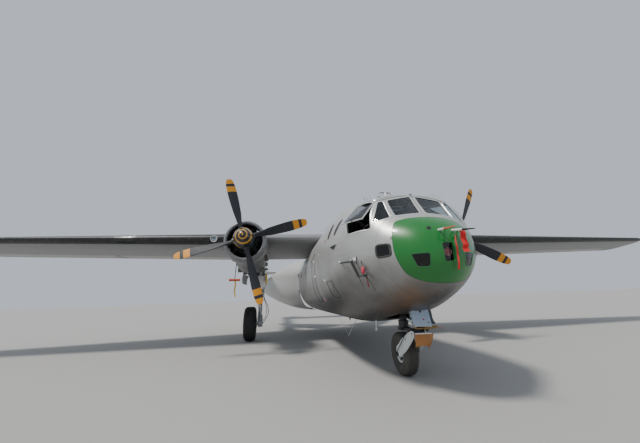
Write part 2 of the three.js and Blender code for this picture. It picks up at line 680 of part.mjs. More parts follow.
[['port', 1], ['starboard', -1]].forEach(([word, side]) => {
  const x = side * ENGINE_X;
  const wing = wingBody(1600, 6500, side, GAP);
  const shell = boomBody(6480, BOOM_SPLIT - GAP, side, 0)
    .subtract(boomBody(6500, BOOM_SPLIT + 50, side, BOOM_WALL));
  const bayInner = side > 0 ? x - 500 : x + 500;
  const bayOuter = side > 0 ? x + 330 : x - 330;
  const bay = box([Math.min(bayInner, bayOuter), station(7700), 2300],
    [Math.max(bayInner, bayOuter), station(9300), 3250]);
  piece(`nacelle_${word}`, shell.subtract(wing).subtract(bay), GREY);

  // Ring cowl, open at the front and with a slot behind it for the cooling air
  const cowlProfile = [
    [575, -60], [600, -95], [645, -98], [690, -55], [718, 110], [720, 500], [700, 1080],
    [686, 1080], [700, 500], [690, 110], [600, 0],
  ];
  const cowlOutline = [...cowlProfile, cowlProfile[0]].map(([r, y]) => new THREE.Vector2(r, y));
  const cowl = new THREE.LatheGeometry(cowlOutline, 24);
  cowl.translate(x, station(PROP_STATION + 420), THRUST_Z);
  piece(`cowl_${word}`, toSolid(cowl), GREY);

  // The engine is one plain block of its real size, carried on the firewall
  const engineFront = station(PROP_STATION + 380);
  const cylinders = rod(point(x, engineFront + 120, THRUST_Z), point(x, station(6480) - GAP, THRUST_Z), 610, 610, 20);
  const nose = rod(point(x, station(PROP_STATION) + 190, THRUST_Z), point(x, engineFront + 140, THRUST_Z), 210, 330, 20);
  const carrier = rod(point(x, station(6250), THRUST_Z), point(x, station(6480) - GAP, THRUST_Z), 640, 640, 20);
  const mount = [30, 150, 270].map((deg) => {
    const a = THREE.MathUtils.degToRad(deg);
    return rod(point(x + 400 * Math.cos(a), station(5700), THRUST_Z + 400 * Math.sin(a)),
      point(x + 694 * Math.cos(a), station(5700), THRUST_Z + 694 * Math.sin(a)), 30, 30, 6);
  });
  const shaft = rod(point(x, station(PROP_STATION) + 60, THRUST_Z), point(x, station(PROP_STATION) + 220, THRUST_Z),
    70, 70, 20);
  let engine = cylinders.add(nose).add(carrier).add(shaft);
  mount.forEach((arm) => {
    engine = engine.add(arm);
  });
  const cowlClear = new THREE.LatheGeometry([
    [690 - SEAT, 110], [900, 110], [900, 500], [700 - SEAT, 500], [690 - SEAT, 110],
  ].map(([r, y]) => new THREE.Vector2(r, y)), 24);
  cowlClear.translate(x, station(PROP_STATION + 420), THRUST_Z);
  piece(`engine_${word}`, engine.subtract(toSolid(cowlClear)), IRON);

  // Propeller with its spinner, turning about the thrust line
  const hub = point(x, station(PROP_STATION), THRUST_Z);
  const spinGroup = pivot(hub);
  let blades = null;
  [0, 90, 180, 270].forEach((quarter) => {
    const rings = BLADE.map(([radius, chord, thick, pitch]) => {
      const turn = THREE.MathUtils.degToRad(pitch);
      const outline = [[-0.5, 0], [-0.35, 0.75], [0, 1], [0.5, 0.06], [0.1, -0.5], [-0.35, -0.5]];
      return outline.map(([u, v]) => {
        const across = u * chord;
        const through = v * thick * 0.5;
        return point(across * Math.cos(turn) - through * Math.sin(turn),
          across * Math.sin(turn) + through * Math.cos(turn), radius);
      });
    });
    const blade = loft(rings);
    blade.rotateY(THREE.MathUtils.degToRad(quarter));
    const solid = toSolid(blade);
    blades = blades ? blades.add(solid) : solid;
  });
  const hubDrum = rod(point(0, -130, 0), point(0, 190 - SEAT, 0), 250, 250, 24);
  const shaftHole = rod(point(0, 54, 0), point(0, 200, 0), 70 + RUN + 1, 70 + RUN + 1, 20);
  const prop = piece(`propeller_${word}`, blades.add(hubDrum).subtract(shaftHole), CHARCOAL, spinGroup);
  prop.rotation.y = THREE.MathUtils.degToRad(side > 0 ? PORT_BLADE_LEAN : STARBOARD_BLADE_LEAN);
  const spinnerOutline = [
    [0, -560], [60, -545], [150, -480], [230, -380], [290, -260], [325, -140], [330, -130.4], [0, -130.4],
  ].map(([r, y]) => new THREE.Vector2(r, y));
  piece(`spinner_${word}`, toSolid(new THREE.LatheGeometry(spinnerOutline, 16)), BLACK, spinGroup);

  // Boom from the nacelle to the fin, hollow and open into the nacelle
  const tailplane = tailplaneBody(3700, GAP);
  const boom = boomBody(BOOM_SPLIT, 20780, side, 0)
    .subtract(boomBody(BOOM_SPLIT - 50, 20700, side, BOOM_WALL))
    .subtract(finBody(side, GAP))
    .subtract(tailplane);
  piece(`boom_${word}`, boom, SILVER);

  const rudderHeights = [3260, 3700, 4600, 5300, 5720, 5780];
  const rudderLine = rudderHeights.map((z) => point(x, station(RUDDER_HINGE_STATION), z));
  const split = hinged(finBody(side), rudderLine, rudderHeights.map(rudderNoseRadius), 'z');
  // The fin is two skins that open towards the rudder, closed where the rudder's pins lie
  const finHollow = loftSolid([3300, 3700, 4600, 5300, 5700].map((height) => {
    const [, lead, trail, half] = along(FIN, height);
    const near = lead + 0.12 * (trail - lead);
    const wall = Math.max(6, half - 14);
    return [
      point(x - wall * 0.7, station(near), height),
      point(x - wall, station(lead + 0.3 * (trail - lead)), height),
      point(x - wall * 0.7, station(21200), height),
      point(x + wall * 0.7, station(21200), height),
      point(x + wall, station(lead + 0.3 * (trail - lead)), height),
      point(x + wall * 0.7, station(near), height),
    ];
  }));
  piece(`fin_${word}`, split.fixed.subtract(finHollow).subtract(tailplane), GREY);
  const rudderGroup = pivot(rudderLine[0]);
  piece(`rudder_${word}`, split.moving, GREY, rudderGroup, rudderLine[0]);
});

// Tailplane between the booms, with one elevator
const [, tailLead, tailChord, tailZ, tailRatio] = TAILPLANE[0];
const elevatorY = station(tailLead + TAIL_HINGE * tailChord);
const elevatorRadius = thicknessAt(TAIL_HINGE, tailRatio, tailChord) + 3;
const elevatorLine = [point(-3480, elevatorY, tailZ), point(3480, elevatorY, tailZ)];
const tailSplit = hinged(tailplaneBody(3700), elevatorLine, [elevatorRadius, elevatorRadius], 'x');
const tailHollow = (steps, wall, limit) => loftSolid([-limit, limit].map((x) => {
  const half = (f) => thicknessAt(f, tailRatio, tailChord) - wall;
  const upper = steps.map((f) => point(x, station(tailLead + f * tailChord), tailZ + half(f)));
  const lower = steps.map((f) => point(x, station(tailLead + f * tailChord), tailZ - half(f)));
  return [...upper, ...lower.reverse()];
}));
piece('tailplane', tailSplit.fixed.subtract(tailHollow([0.05, 0.2, 0.4, 0.54], 10, 4000)), GREY);
const elevatorGroup = pivot(elevatorLine[0]);
piece('elevator', tailSplit.moving.subtract(tailHollow([0.635, 0.75, 0.9], 8, 4000)), GREY, elevatorGroup,
  elevatorLine[0]);

// Tyre and hub about a crosswise axle
function tyre(radius, width, rim) {
  const w = width / 2;
  const outline = [
    [rim, -w * 0.62], [radius * 0.74, -w], [radius * 0.9, -w * 0.93],
    [radius * 0.97, -w * 0.68], [radius, -w * 0.3], [radius, w * 0.3], [radius * 0.97, w * 0.68],
    [radius * 0.9, w * 0.93], [radius * 0.74, w], [rim, w * 0.62], [rim, -w * 0.62],
  ];
  const geometry = new THREE.LatheGeometry(outline.map(([r, x]) => new THREE.Vector2(r, x)), WHEEL_SIDES);
  geometry.rotateZ(-Math.PI / 2);
  return toSolid(geometry);
}

function hub(rim, width, shaft) {
  const bore = (shaft + RUN) / Math.cos(Math.PI / WHEEL_SIDES);
  const w = width / 2;
  const outline = [
    [bore, -w * 0.5], [rim * 0.45, -w * 0.5], [rim * 0.8, -w * 0.3], [rim, -w * 0.62],
    [rim, w * 0.62], [rim * 0.8, w * 0.3], [rim * 0.45, w * 0.5], [bore, w * 0.5],
    [bore, -w * 0.5],
  ];
  const geometry = new THREE.LatheGeometry(outline.map(([r, x]) => new THREE.Vector2(r, x)), WHEEL_SIDES);
  geometry.rotateZ(-Math.PI / 2);
  return toSolid(geometry);
}

// Main gear: each leg stands inboard of its single wheel
[['port', 1, 0], ['starboard', -1, 1]].forEach(([word, side, i]) => {
  const axle = point(side * MAIN_TYRE_X, station(MAIN_WHEEL_STATION), MAIN_TYRE_RADIUS);
  const legX = side * MAIN_LEG_X;
  const legY = station(MAIN_WHEEL_STATION);
  const cylinder = rod(point(legX, legY, 1650), point(legX, legY, 3200), 95, 95, 12);
  const piston = rod(point(legX, legY, 560), point(legX, legY, 1700), 68, 68, 12);
  const foot = rod(point(legX, legY - 95, MAIN_TYRE_RADIUS), point(legX, legY + 95, MAIN_TYRE_RADIUS), 88, 88, 12);
  const axleBar = rod(point(legX, legY, MAIN_TYRE_RADIUS), point(side * (MAIN_TYRE_X + 170), legY, MAIN_TYRE_RADIUS),
    55, 55, WHEEL_SIDES);
  const axleCollar = rod(point(legX, legY, MAIN_TYRE_RADIUS),
    point(side * (MAIN_TYRE_X - MAIN_TYRE_WIDTH / 4 - SEAT), legY, MAIN_TYRE_RADIUS), 80, 80, 12);
  const trunnionInside = boomBody(7000, 10500, side, BOOM_WALL + GAP);
  const trunnion = rod(point(side * 3150, legY, 3130), point(side * 4500, legY, 3130), 80, 80, 12)
    .intersect(trunnionInside);
  const drag = rod(point(legX, legY, 1900), point(legX, legY + 640, 2980), 45, 45, 8);
  const dragPin = rod(point(side * 3150, legY + 640, 2980), point(side * 4500, legY + 640, 2980), 40, 40, 8)
    .intersect(trunnionInside);
  const upperLink = rod(point(legX, legY - 90, 1600), point(legX, legY - 330, 1250), 28, 28, 6);
  const lowerLink = rod(point(legX, legY - 330, 1250), point(legX, legY - 60, 800), 28, 28, 6);
  const linkRoot = box([legX - 50, legY - 130, 1560], [legX + 50, legY, 1680]);
  let leg = cylinder;
  [piston, foot, axleBar, axleCollar, trunnion, drag, dragPin, upperLink, lowerLink, linkRoot].forEach((bar) => {
    leg = leg.add(bar);
  });
  piece(`main_leg_${word}`, leg, STEEL);
  const wheelGroup = pivot(axle);
  piece(`main_tyre_${word}`, tyre(MAIN_TYRE_RADIUS, MAIN_TYRE_WIDTH, 250), RUBBER, wheelGroup);
  piece(`main_hub_${word}`, hub(249.6, MAIN_TYRE_WIDTH, 55), GREY, wheelGroup);
});

// Nose gear: a fixed strut, a steered trailing fork with mudguard, and the wheel
const noseAxle = point(0, station(NOSE_WHEEL_STATION), NOSE_TYRE_RADIUS);
const nosePivot = point(0, station(NOSE_PIVOT_STATION), 1130);
const strut = rod(point(0, nosePivot.y, 1095), point(0, nosePivot.y, 1860 - GAP), 75, 75, 20)
  .add(rod(point(0, nosePivot.y, 1000), point(0, nosePivot.y, 1100), 50, 50, 16))
  .add(rod(point(0, nosePivot.y - 20, 1250), point(0, station(1560), 1860 - GAP), 34, 34, 12))
  .add(rod(point(-200, nosePivot.y, 1500), point(200, nosePivot.y, 1500), 40, 40, 12))
  .subtract(box([-300, station(1000), 1860 - GAP], [300, station(2500), 2000]));
piece('nose_leg', strut, STEEL);

const steerGroup = pivot(nosePivot);
const collar = rod(point(0, nosePivot.y, 960), point(0, nosePivot.y, 1095 - SEAT), 105, 105, 20)
  .subtract(rod(point(0, nosePivot.y, 994), point(0, nosePivot.y, 1200), 50 + RUN + 1, 50 + RUN + 1, 16));
const yoke = box([-205, nosePivot.y - 70, 900], [205, nosePivot.y + 70, 965]);
const arms = [-1, 1].map((side) => prism([
  [nosePivot.y - 60, 965],
  [nosePivot.y + 60, 965],
  [noseAxle.y + 70, NOSE_TYRE_RADIUS - 10],
  [noseAxle.y - 10, NOSE_TYRE_RADIUS - 70],
  [noseAxle.y - 70, NOSE_TYRE_RADIUS + 10],
], 'x', side > 0 ? 172 : -205, side > 0 ? 205 : -172));
const nosePin = rod(point(-215, noseAxle.y, noseAxle.z), point(215, noseAxle.y, noseAxle.z), 34, 34, WHEEL_SIDES);
const guardOutline = (outerRadius, innerRadius, from, to) => {
  const steps = 5;
  const arc = (radius) => Array.from({ length: steps + 1 }, (_, k) => {
    const a = THREE.MathUtils.degToRad(from + ((to - from) * k) / steps);
    return [noseAxle.y + radius * Math.cos(a), noseAxle.z + radius * Math.sin(a)];
  });
  return { outer: arc(outerRadius), inner: arc(innerRadius) };
};
const guard = guardOutline(478, 466, 95, 200);
const guardStrips = guard.outer.slice(0, -1).map((p, k) => prism(
  [p, guard.outer[k + 1], guard.inner[k + 1], guard.inner[k]], 'x', -206, 206,
));
let fork = yoke.add(collar).add(arms[0]).add(arms[1]).add(nosePin);
[-1, 1].forEach((side) => {
  fork = fork.add(rod(point(side * 180, noseAxle.y, noseAxle.z),
    point(side * (NOSE_TYRE_WIDTH / 4 + SEAT), noseAxle.y, noseAxle.z), 48, 48, 12));
});
guardStrips.forEach((strip) => {
  fork = fork.add(strip);
});
piece('nose_fork', fork, STEEL, steerGroup, nosePivot);
const noseWheelGroup = pivot(noseAxle, steerGroup, nosePivot);
piece('nose_tyre', tyre(NOSE_TYRE_RADIUS, NOSE_TYRE_WIDTH, 165), WORN_RUBBER, noseWheelGroup);
piece('nose_hub', hub(164.6, NOSE_TYRE_WIDTH, 34), GREY, noseWheelGroup);

// Air data mast on the starboard cheek
const mast = rod(point(-1500, station(1290), 2330), point(-1245, station(1290), 2330), 22, 16, 12)
  .add(rod(point(-1500, station(1310), 2330), point(-1500, station(1000), 2330), 14, 14, 12));
piece('air_mast', mast.subtract(podClear), STEEL);

export default plane;
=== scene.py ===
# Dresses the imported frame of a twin-boom transport plane. Metres, nose towards -Y, port towards +X.
import bisect
import json
from math import ceil, copysign, cos, pi, radians, sin, sqrt

import bmesh
import bpy
from mathutils import Matrix, Vector

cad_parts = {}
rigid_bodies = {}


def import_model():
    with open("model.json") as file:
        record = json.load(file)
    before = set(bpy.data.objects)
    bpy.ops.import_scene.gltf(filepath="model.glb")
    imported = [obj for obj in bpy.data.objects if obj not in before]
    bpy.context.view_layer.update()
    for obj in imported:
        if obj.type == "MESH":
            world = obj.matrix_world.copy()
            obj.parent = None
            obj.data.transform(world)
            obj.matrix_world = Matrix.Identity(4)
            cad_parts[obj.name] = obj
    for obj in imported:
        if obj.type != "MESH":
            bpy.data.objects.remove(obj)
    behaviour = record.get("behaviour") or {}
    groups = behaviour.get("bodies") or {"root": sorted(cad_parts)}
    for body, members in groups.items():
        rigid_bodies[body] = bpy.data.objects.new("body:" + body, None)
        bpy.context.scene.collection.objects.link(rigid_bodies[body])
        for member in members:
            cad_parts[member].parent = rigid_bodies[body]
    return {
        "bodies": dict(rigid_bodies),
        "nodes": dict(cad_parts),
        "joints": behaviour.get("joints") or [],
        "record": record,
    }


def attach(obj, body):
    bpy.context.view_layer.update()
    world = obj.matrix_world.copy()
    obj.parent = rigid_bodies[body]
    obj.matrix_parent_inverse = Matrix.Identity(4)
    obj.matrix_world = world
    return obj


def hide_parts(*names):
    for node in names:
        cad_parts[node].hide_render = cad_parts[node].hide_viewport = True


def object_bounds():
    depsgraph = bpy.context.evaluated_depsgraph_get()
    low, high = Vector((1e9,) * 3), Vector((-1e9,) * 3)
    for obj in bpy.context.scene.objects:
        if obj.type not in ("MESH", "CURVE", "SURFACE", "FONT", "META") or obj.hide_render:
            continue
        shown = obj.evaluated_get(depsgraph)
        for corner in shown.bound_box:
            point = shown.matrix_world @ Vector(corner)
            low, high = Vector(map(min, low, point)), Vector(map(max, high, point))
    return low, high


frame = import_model()
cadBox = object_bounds()
noseY = -10.98  # stations are counted aft from here
engineX = 3.8
thrustHeight = 3.545
bothSides = (("Port", 1), ("Starboard", -1))
print("frame loaded")

# Camera, floor and light
cameraView = {
    "place": (-2.697, -14.893, 1.632),
    "turn": -0.158,
    "tilt": 0.273,
    "lean": -0.034,
    "lens": 15.226,
}
studio = {
    "floorSize": 600.0,
    "floorColour": (0.37, 0.365, 0.355, 1),
    "airColour": (0.78, 0.85, 0.95, 1),
    "airStrength": 0.72,
    "sunPower": 3.3,
    "sunAngle": 9,
    "sunFrom": (-0.45, -0.16, 0.88),
}


def makeCamera(look):
    turn, tilt, lean = look["turn"], look["tilt"], look["lean"]
    ahead = Vector((-sin(turn) * cos(tilt), cos(turn) * cos(tilt), sin(tilt)))
    level = Vector((cos(turn), sin(turn), 0))
    upright = level.cross(ahead)
    right = level * cos(lean) + upright * sin(lean)
    top = upright * cos(lean) - level * sin(lean)
    data = bpy.data.cameras.new("camera")
    data.lens = look["lens"]
    data.sensor_width = 36
    data.clip_end = 1500
    camera = bpy.data.objects.new("camera", data)
    bpy.context.scene.collection.objects.link(camera)
    axes = Matrix((right, top, -ahead)).transposed().to_4x4()
    camera.matrix_world = Matrix.Translation(look["place"]) @ axes
    bpy.context.scene.camera = camera


def makeLights(look):
    world = bpy.data.worlds.new("air")
    world.use_nodes = True
    background = world.node_tree.nodes["Background"]
    background.inputs["Color"].default_value = look["airColour"]
    background.inputs["Strength"].default_value = look["airStrength"]
    bpy.context.scene.world = world
    sun = bpy.data.lights.new("sun", "SUN")
    sun.energy = look["sunPower"]
    sun.angle = radians(look["sunAngle"])
    sun.color = (1.0, 0.96, 0.9)
    sunObject = bpy.data.objects.new("sun", sun)
    sunObject.rotation_euler = Vector(look["sunFrom"]).to_track_quat("Z", "Y").to_euler()
    bpy.context.scene.collection.objects.link(sunObject)


makeCamera(cameraView)
makeLights(studio)


# Node tools
def addNode(tree, kind, values=None, **settings):
    made = tree.nodes.new(kind)
    for key, value in settings.items():
        setattr(made, key, value)
    for key, value in (values or {}).items():
        if isinstance(value, bpy.types.NodeSocket):
            tree.links.new(value, made.inputs[key])
        else:
            made.inputs[key].default_value = value
    return made


def calc(tree, operation, *values, clamp=False):
    made = addNode(tree, "ShaderNodeMath", dict(enumerate(values)), operation=operation)
    made.use_clamp = clamp
    return made.outputs[0]


def ramp(tree, value, low, high, lowOut=0.0, highOut=1.0):
    sockets = {"Value": value, "From Min": low, "From Max": high, "To Min": lowOut, "To Max": highOut}
    return addNode(tree, "ShaderNodeMapRange", sockets, interpolation_type="SMOOTHSTEP").outputs[0]


def plus(tree, *values, clamp=False):
    return calc(tree, "ADD", *values, clamp=clamp)


def minus(tree, *values):
    return calc(tree, "SUBTRACT", *values)


def times(tree, *values, clamp=False):
    return calc(tree, "MULTIPLY", *values, clamp=clamp)


def splitOf(tree, coords):
    return addNode(tree, "ShaderNodeSeparateXYZ", {0: coords}).outputs


def reachOf(tree, one, other):  # the length of two sides at a right angle
    return calc(tree, "SQRT", plus(tree, calc(tree, "POWER", one, 2.0), calc(tree, "POWER", other, 2.0)))


def mixColours(tree, share, first, second, blend="MIX"):
    return addNode(tree, "ShaderNodeMix", {0: share, 6: first, 7: second}, data_type="RGBA",
                   blend_type=blend).outputs[2]


def noise(tree, vector, scale, detail=4.0, rough=0.55):
    sockets = {"Vector": vector, "Scale": scale, "Detail": detail, "Roughness": rough}
    return addNode(tree, "ShaderNodeTexNoise", sockets).outputs[0]


def makeGroup(name, inputs, outputs):
    tree = bpy.data.node_groups.new(name, "ShaderNodeTree")
    kinds = {"value": "NodeSocketFloat", "colour": "NodeSocketColor", "vector": "NodeSocketVector"}
    for label, kind, value in inputs:
        socket = tree.interface.new_socket(name=label, in_out="INPUT", socket_type=kinds[kind])
        if value is not None:
            socket.default_value = value
    for label, kind in outputs:
        tree.interface.new_socket(name=label, in_out="OUTPUT", socket_type=kinds[kind])
    return tree, tree.nodes.new("NodeGroupInput"), tree.nodes.new("NodeGroupOutput")


def weatherGroup():  # patchy paint with grime that runs down
    inputs = (
        ("Vector", "vector", None),
        ("Paint", "colour", (0.5, 0.5, 0.5, 1)),
        ("Grime", "colour", (0.1, 0.09, 0.07, 1)),
        ("Amount", "value", 0.2),
        ("Patchiness", "value", 0.1),
        ("Smoothness", "value", 0.6),
    )
    outputs = (("Colour", "colour"), ("Roughness", "value"), ("Height", "value"))
    tree, start, end = makeGroup("weatheredPaint", inputs, outputs)
    where = start.outputs["Vector"]
    broad = noise(tree, where, 0.8, 3.0)
    fine = noise(tree, where, 17.0, 6.0, 0.6)
    stretched = addNode(tree, "ShaderNodeVectorMath", {0: where, 1: (7.0, 7.0, 0.7)}, operation="MULTIPLY")
    runs = ramp(tree, noise(tree, stretched.outputs[0], 1.0, 5.0, 0.6), 0.52, 0.78)
    specks = ramp(tree, noise(tree, where, 46.0, 3.0), 0.62, 0.75)
    both = calc(tree, "MAXIMUM", runs, times(tree, specks, 0.5))
    dirt = times(tree, both, start.outputs["Amount"], clamp=True)
    sway = times(tree, minus(tree, broad, 0.5), start.outputs["Patchiness"])
    wobble = times(tree, minus(tree, fine, 0.5), times(tree, start.outputs["Patchiness"], 0.5))
    level = plus(tree, 1.0, times(tree, plus(tree, sway, wobble), 2.0))
    grey = addNode(tree, "ShaderNodeCombineColor", {0: level, 1: level, 2: level}).outputs[0]
    patched = mixColours(tree, 1.0, start.outputs["Paint"], grey, "MULTIPLY")
    tree.links.new(mixColours(tree, dirt, patched, start.outputs["Grime"]), end.inputs["Colour"])
    dull = minus(tree, 1.0, start.outputs["Smoothness"])
    varied = plus(tree, dull, times(tree, minus(tree, fine, 0.5), 0.16))
    tree.links.new(plus(tree, varied, times(tree, dirt, 0.3), clamp=True), end.inputs["Roughness"])
    tree.links.new(plus(tree, times(tree, fine, 0.5), times(tree, dirt, 0.4)), end.inputs["Height"])
    return tree


def seamGroup():  # sheet edges and the rivet rows beside them, from two lengths in metres
    inputs = (
        ("U", "value", 0.0),
        ("V", "value", 0.0),
        ("Spacing U", "value", 0.8),
        ("Spacing V", "value", 0.8),
        ("Width", "value", 0.004),
        ("Pitch", "value", 0.045),
        ("Rivet", "value", 0.005),
    )
    tree, start, end = makeGroup("seamGrid", inputs, (("Seam", "value"), ("Rivets", "value")))

    def distance(value, spacing):
        share = calc(tree, "FRACT", plus(tree, calc(tree, "DIVIDE", value, spacing), 0.5))
        return times(tree, calc(tree, "ABSOLUTE", minus(tree, share, 0.5)), spacing)

    found = []
    dots = []
    for along, across in (("U", "V"), ("V", "U")):
        gap = distance(start.outputs[along], start.outputs["Spacing " + along])
        found.append(ramp(tree, gap, 0.0, start.outputs["Width"], 1.0, 0.0))
        row = calc(tree, "ABSOLUTE", minus(tree, gap, 0.022))
        step = distance(start.outputs[across], start.outputs["Pitch"])
        far = reachOf(tree, row, step)
        dots.append(ramp(tree, far, times(tree, start.outputs["Rivet"], 0.6), start.outputs["Rivet"], 1.0,
                         0.0))
    tree.links.new(calc(tree, "MAXIMUM", *found), end.inputs["Seam"])
    tree.links.new(calc(tree, "MAXIMUM", *dots), end.inputs["Rivets"])
    return tree


weathering = weatherGroup()
seams = seamGroup()


# Materials
def whereOn(tree, layout):
    coords = addNode(tree, "ShaderNodeTexCoord").outputs["Object"]
    split = splitOf(tree, coords)
    if layout == "pod":
        turn = calc(tree, "ARCTAN2", split[0], minus(tree, split[2], 2.45))
        return coords, split[1], times(tree, turn, 1.5)
    if layout == "boom":
        aside = minus(tree, calc(tree, "ABSOLUTE", split[0]), engineX)
        turn = calc(tree, "ARCTAN2", aside, minus(tree, split[2], 3.5))
        return coords, split[1], times(tree, turn, 0.45)
    if layout == "fin":
        return coords, split[1], split[2]
    return coords, split[0], split[1]


def finishMaterial(name, look):
    material = bpy.data.materials.new(name)
    material.use_nodes = True
    tree = material.node_tree
    shader = tree.nodes["Principled BSDF"]
    coords, u, v = whereOn(tree, look.get("layout", "flat"))
    sockets = {
        "Vector": coords,
        "Paint": (*look["paint"], 1),
        "Grime": (*look.get("grime", (0.07, 0.06, 0.05)), 1),
        "Amount": look.get("dirt", 0.15),
        "Patchiness": look.get("patches", 0.07),
        "Smoothness": 1 - look["rough"],
    }
    weather = addNode(tree, "ShaderNodeGroup", sockets, node_tree=weathering)
    colour = weather.outputs["Colour"]
    if look.get("marks"):
        colour = look["marks"](tree, coords, colour)
    height = times(tree, weather.outputs["Height"], look.get("grain", 0.12))
    if look.get("seams"):
        grid = addNode(tree, "ShaderNodeGroup", {"U": u, "V": v, **look["seams"]}, node_tree=seams)
        dark = times(tree, grid.outputs["Seam"], look.get("seamDark", 0.6))
        dotted = times(tree, grid.outputs["Rivets"], 0.35)
        colour = mixColours(tree, calc(tree, "MAXIMUM", dark, dotted), colour, (0.05, 0.05, 0.05, 1))
        height = minus(tree, plus(tree, height, grid.outputs["Rivets"]), grid.outputs["Seam"])
    tree.links.new(colour, shader.inputs["Base Color"])
    tree.links.new(weather.outputs["Roughness"], shader.inputs["Roughness"])
    bump = addNode(tree, "ShaderNodeBump", {"Height": height, "Strength": look.get("bump", 0.4)})
    bump.inputs["Distance"].default_value = look.get("depth", 0.003)
    tree.links.new(bump.outputs[0], shader.inputs["Normal"])
    for socket, key, usual in (("Metallic", "metal", 0.0), ("Coat Weight", "coat", 0.0),
                               ("Coat Roughness", "coatRough", 0.08), ("Sheen Weight", "sheen", 0.0)):
        shader.inputs[socket].default_value = look.get(key, usual)
    return material


def addPaints(table):
    for name, look in table.items():
        paints[name] = finishMaterial(name, look)


def glassMaterial(name, tint, rough):
    material = bpy.data.materials.new(name)
    material.use_nodes = True
    shader = material.node_tree.nodes["Principled BSDF"]
    for socket, value in (("Base Color", (*tint, 1)), ("Roughness", rough), ("Transmission Weight", 1.0),
                          ("IOR", 1.45)):
        shader.inputs[socket].default_value = value
    paints[name] = material


def bellyShade(tree, coords, colour):  # painted shade darkens the pod's underside, and a painted tan ground reflection lies below the cap
    split = splitOf(tree, coords)
    mottled = noise(tree, coords, 1.3, 4.0, 0.6)
    level = plus(tree, split[2], times(tree, minus(tree, mottled, 0.5), 0.7))
    paintedShade = ramp(tree, level, 2.6, 1.35, 0.0, 0.93)
    colour = mixColours(tree, paintedShade, colour, (0.062, 0.057, 0.055, 1))
    ahead = ramp(tree, split[1], -8.6, -10.2)
    aside = ramp(tree, calc(tree, "ABSOLUTE", plus(tree, split[0], 0.42)), 0.42, 0.0)
    low = ramp(tree, split[2], 2.0, 1.6)
    paintedReflection = times(tree, times(tree, ahead, aside), times(tree, low, ramp(tree, mottled, 0.3, 0.6)))
    return mixColours(tree, times(tree, paintedReflection, 0.6), colour, (0.22, 0.1, 0.03, 1))


# orange bands with a dark one between, by distance from the thrust line
def bladeTips(tree, coords, colour):
    split = splitOf(tree, coords)
    aside = minus(tree, calc(tree, "ABSOLUTE", split[0]), engineX)
    rise = minus(tree, split[2], thrustHeight)
    far = reachOf(tree, aside, rise)
    tip = calc(tree, "GREATER_THAN", far, 1.955)
    inner = times(tree, calc(tree, "GREATER_THAN", far, 1.66), calc(tree, "LESS_THAN", far, 1.855))
    return mixColours(tree, plus(tree, tip, inner, clamp=True), colour, (0.72, 0.30, 0.012, 1))


def spiralLine(tree, coords, colour):  # a golden line that winds out from the spinner's tip
    split = splitOf(tree, coords)
    side = calc(tree, "SIGN", split[0])
    aside = minus(tree, split[0], times(tree, side, engineX))
    rise = minus(tree, split[2], thrustHeight)
    far = reachOf(tree, aside, rise)
    turn = calc(tree, "DIVIDE", calc(tree, "ARCTAN2", rise, aside), 2 * pi)
    phase = calc(tree, "FRACT", minus(tree, calc(tree, "DIVIDE", far, 0.118), turn))
    line = times(tree, ramp(tree, phase, 0.06, 0.12), ramp(tree, phase, 0.36, 0.42, 1.0, 0.0))
    return mixColours(tree, line, colour, (0.62, 0.33, 0.03, 1))


def seamsOf(along, across, pitch=0.05, rivet=0.005):  # sheet sizes, then the rivets' distance and size
    return {"Spacing U": along, "Spacing V": across, "Width": 0.005, "Pitch": pitch, "Rivet": rivet}


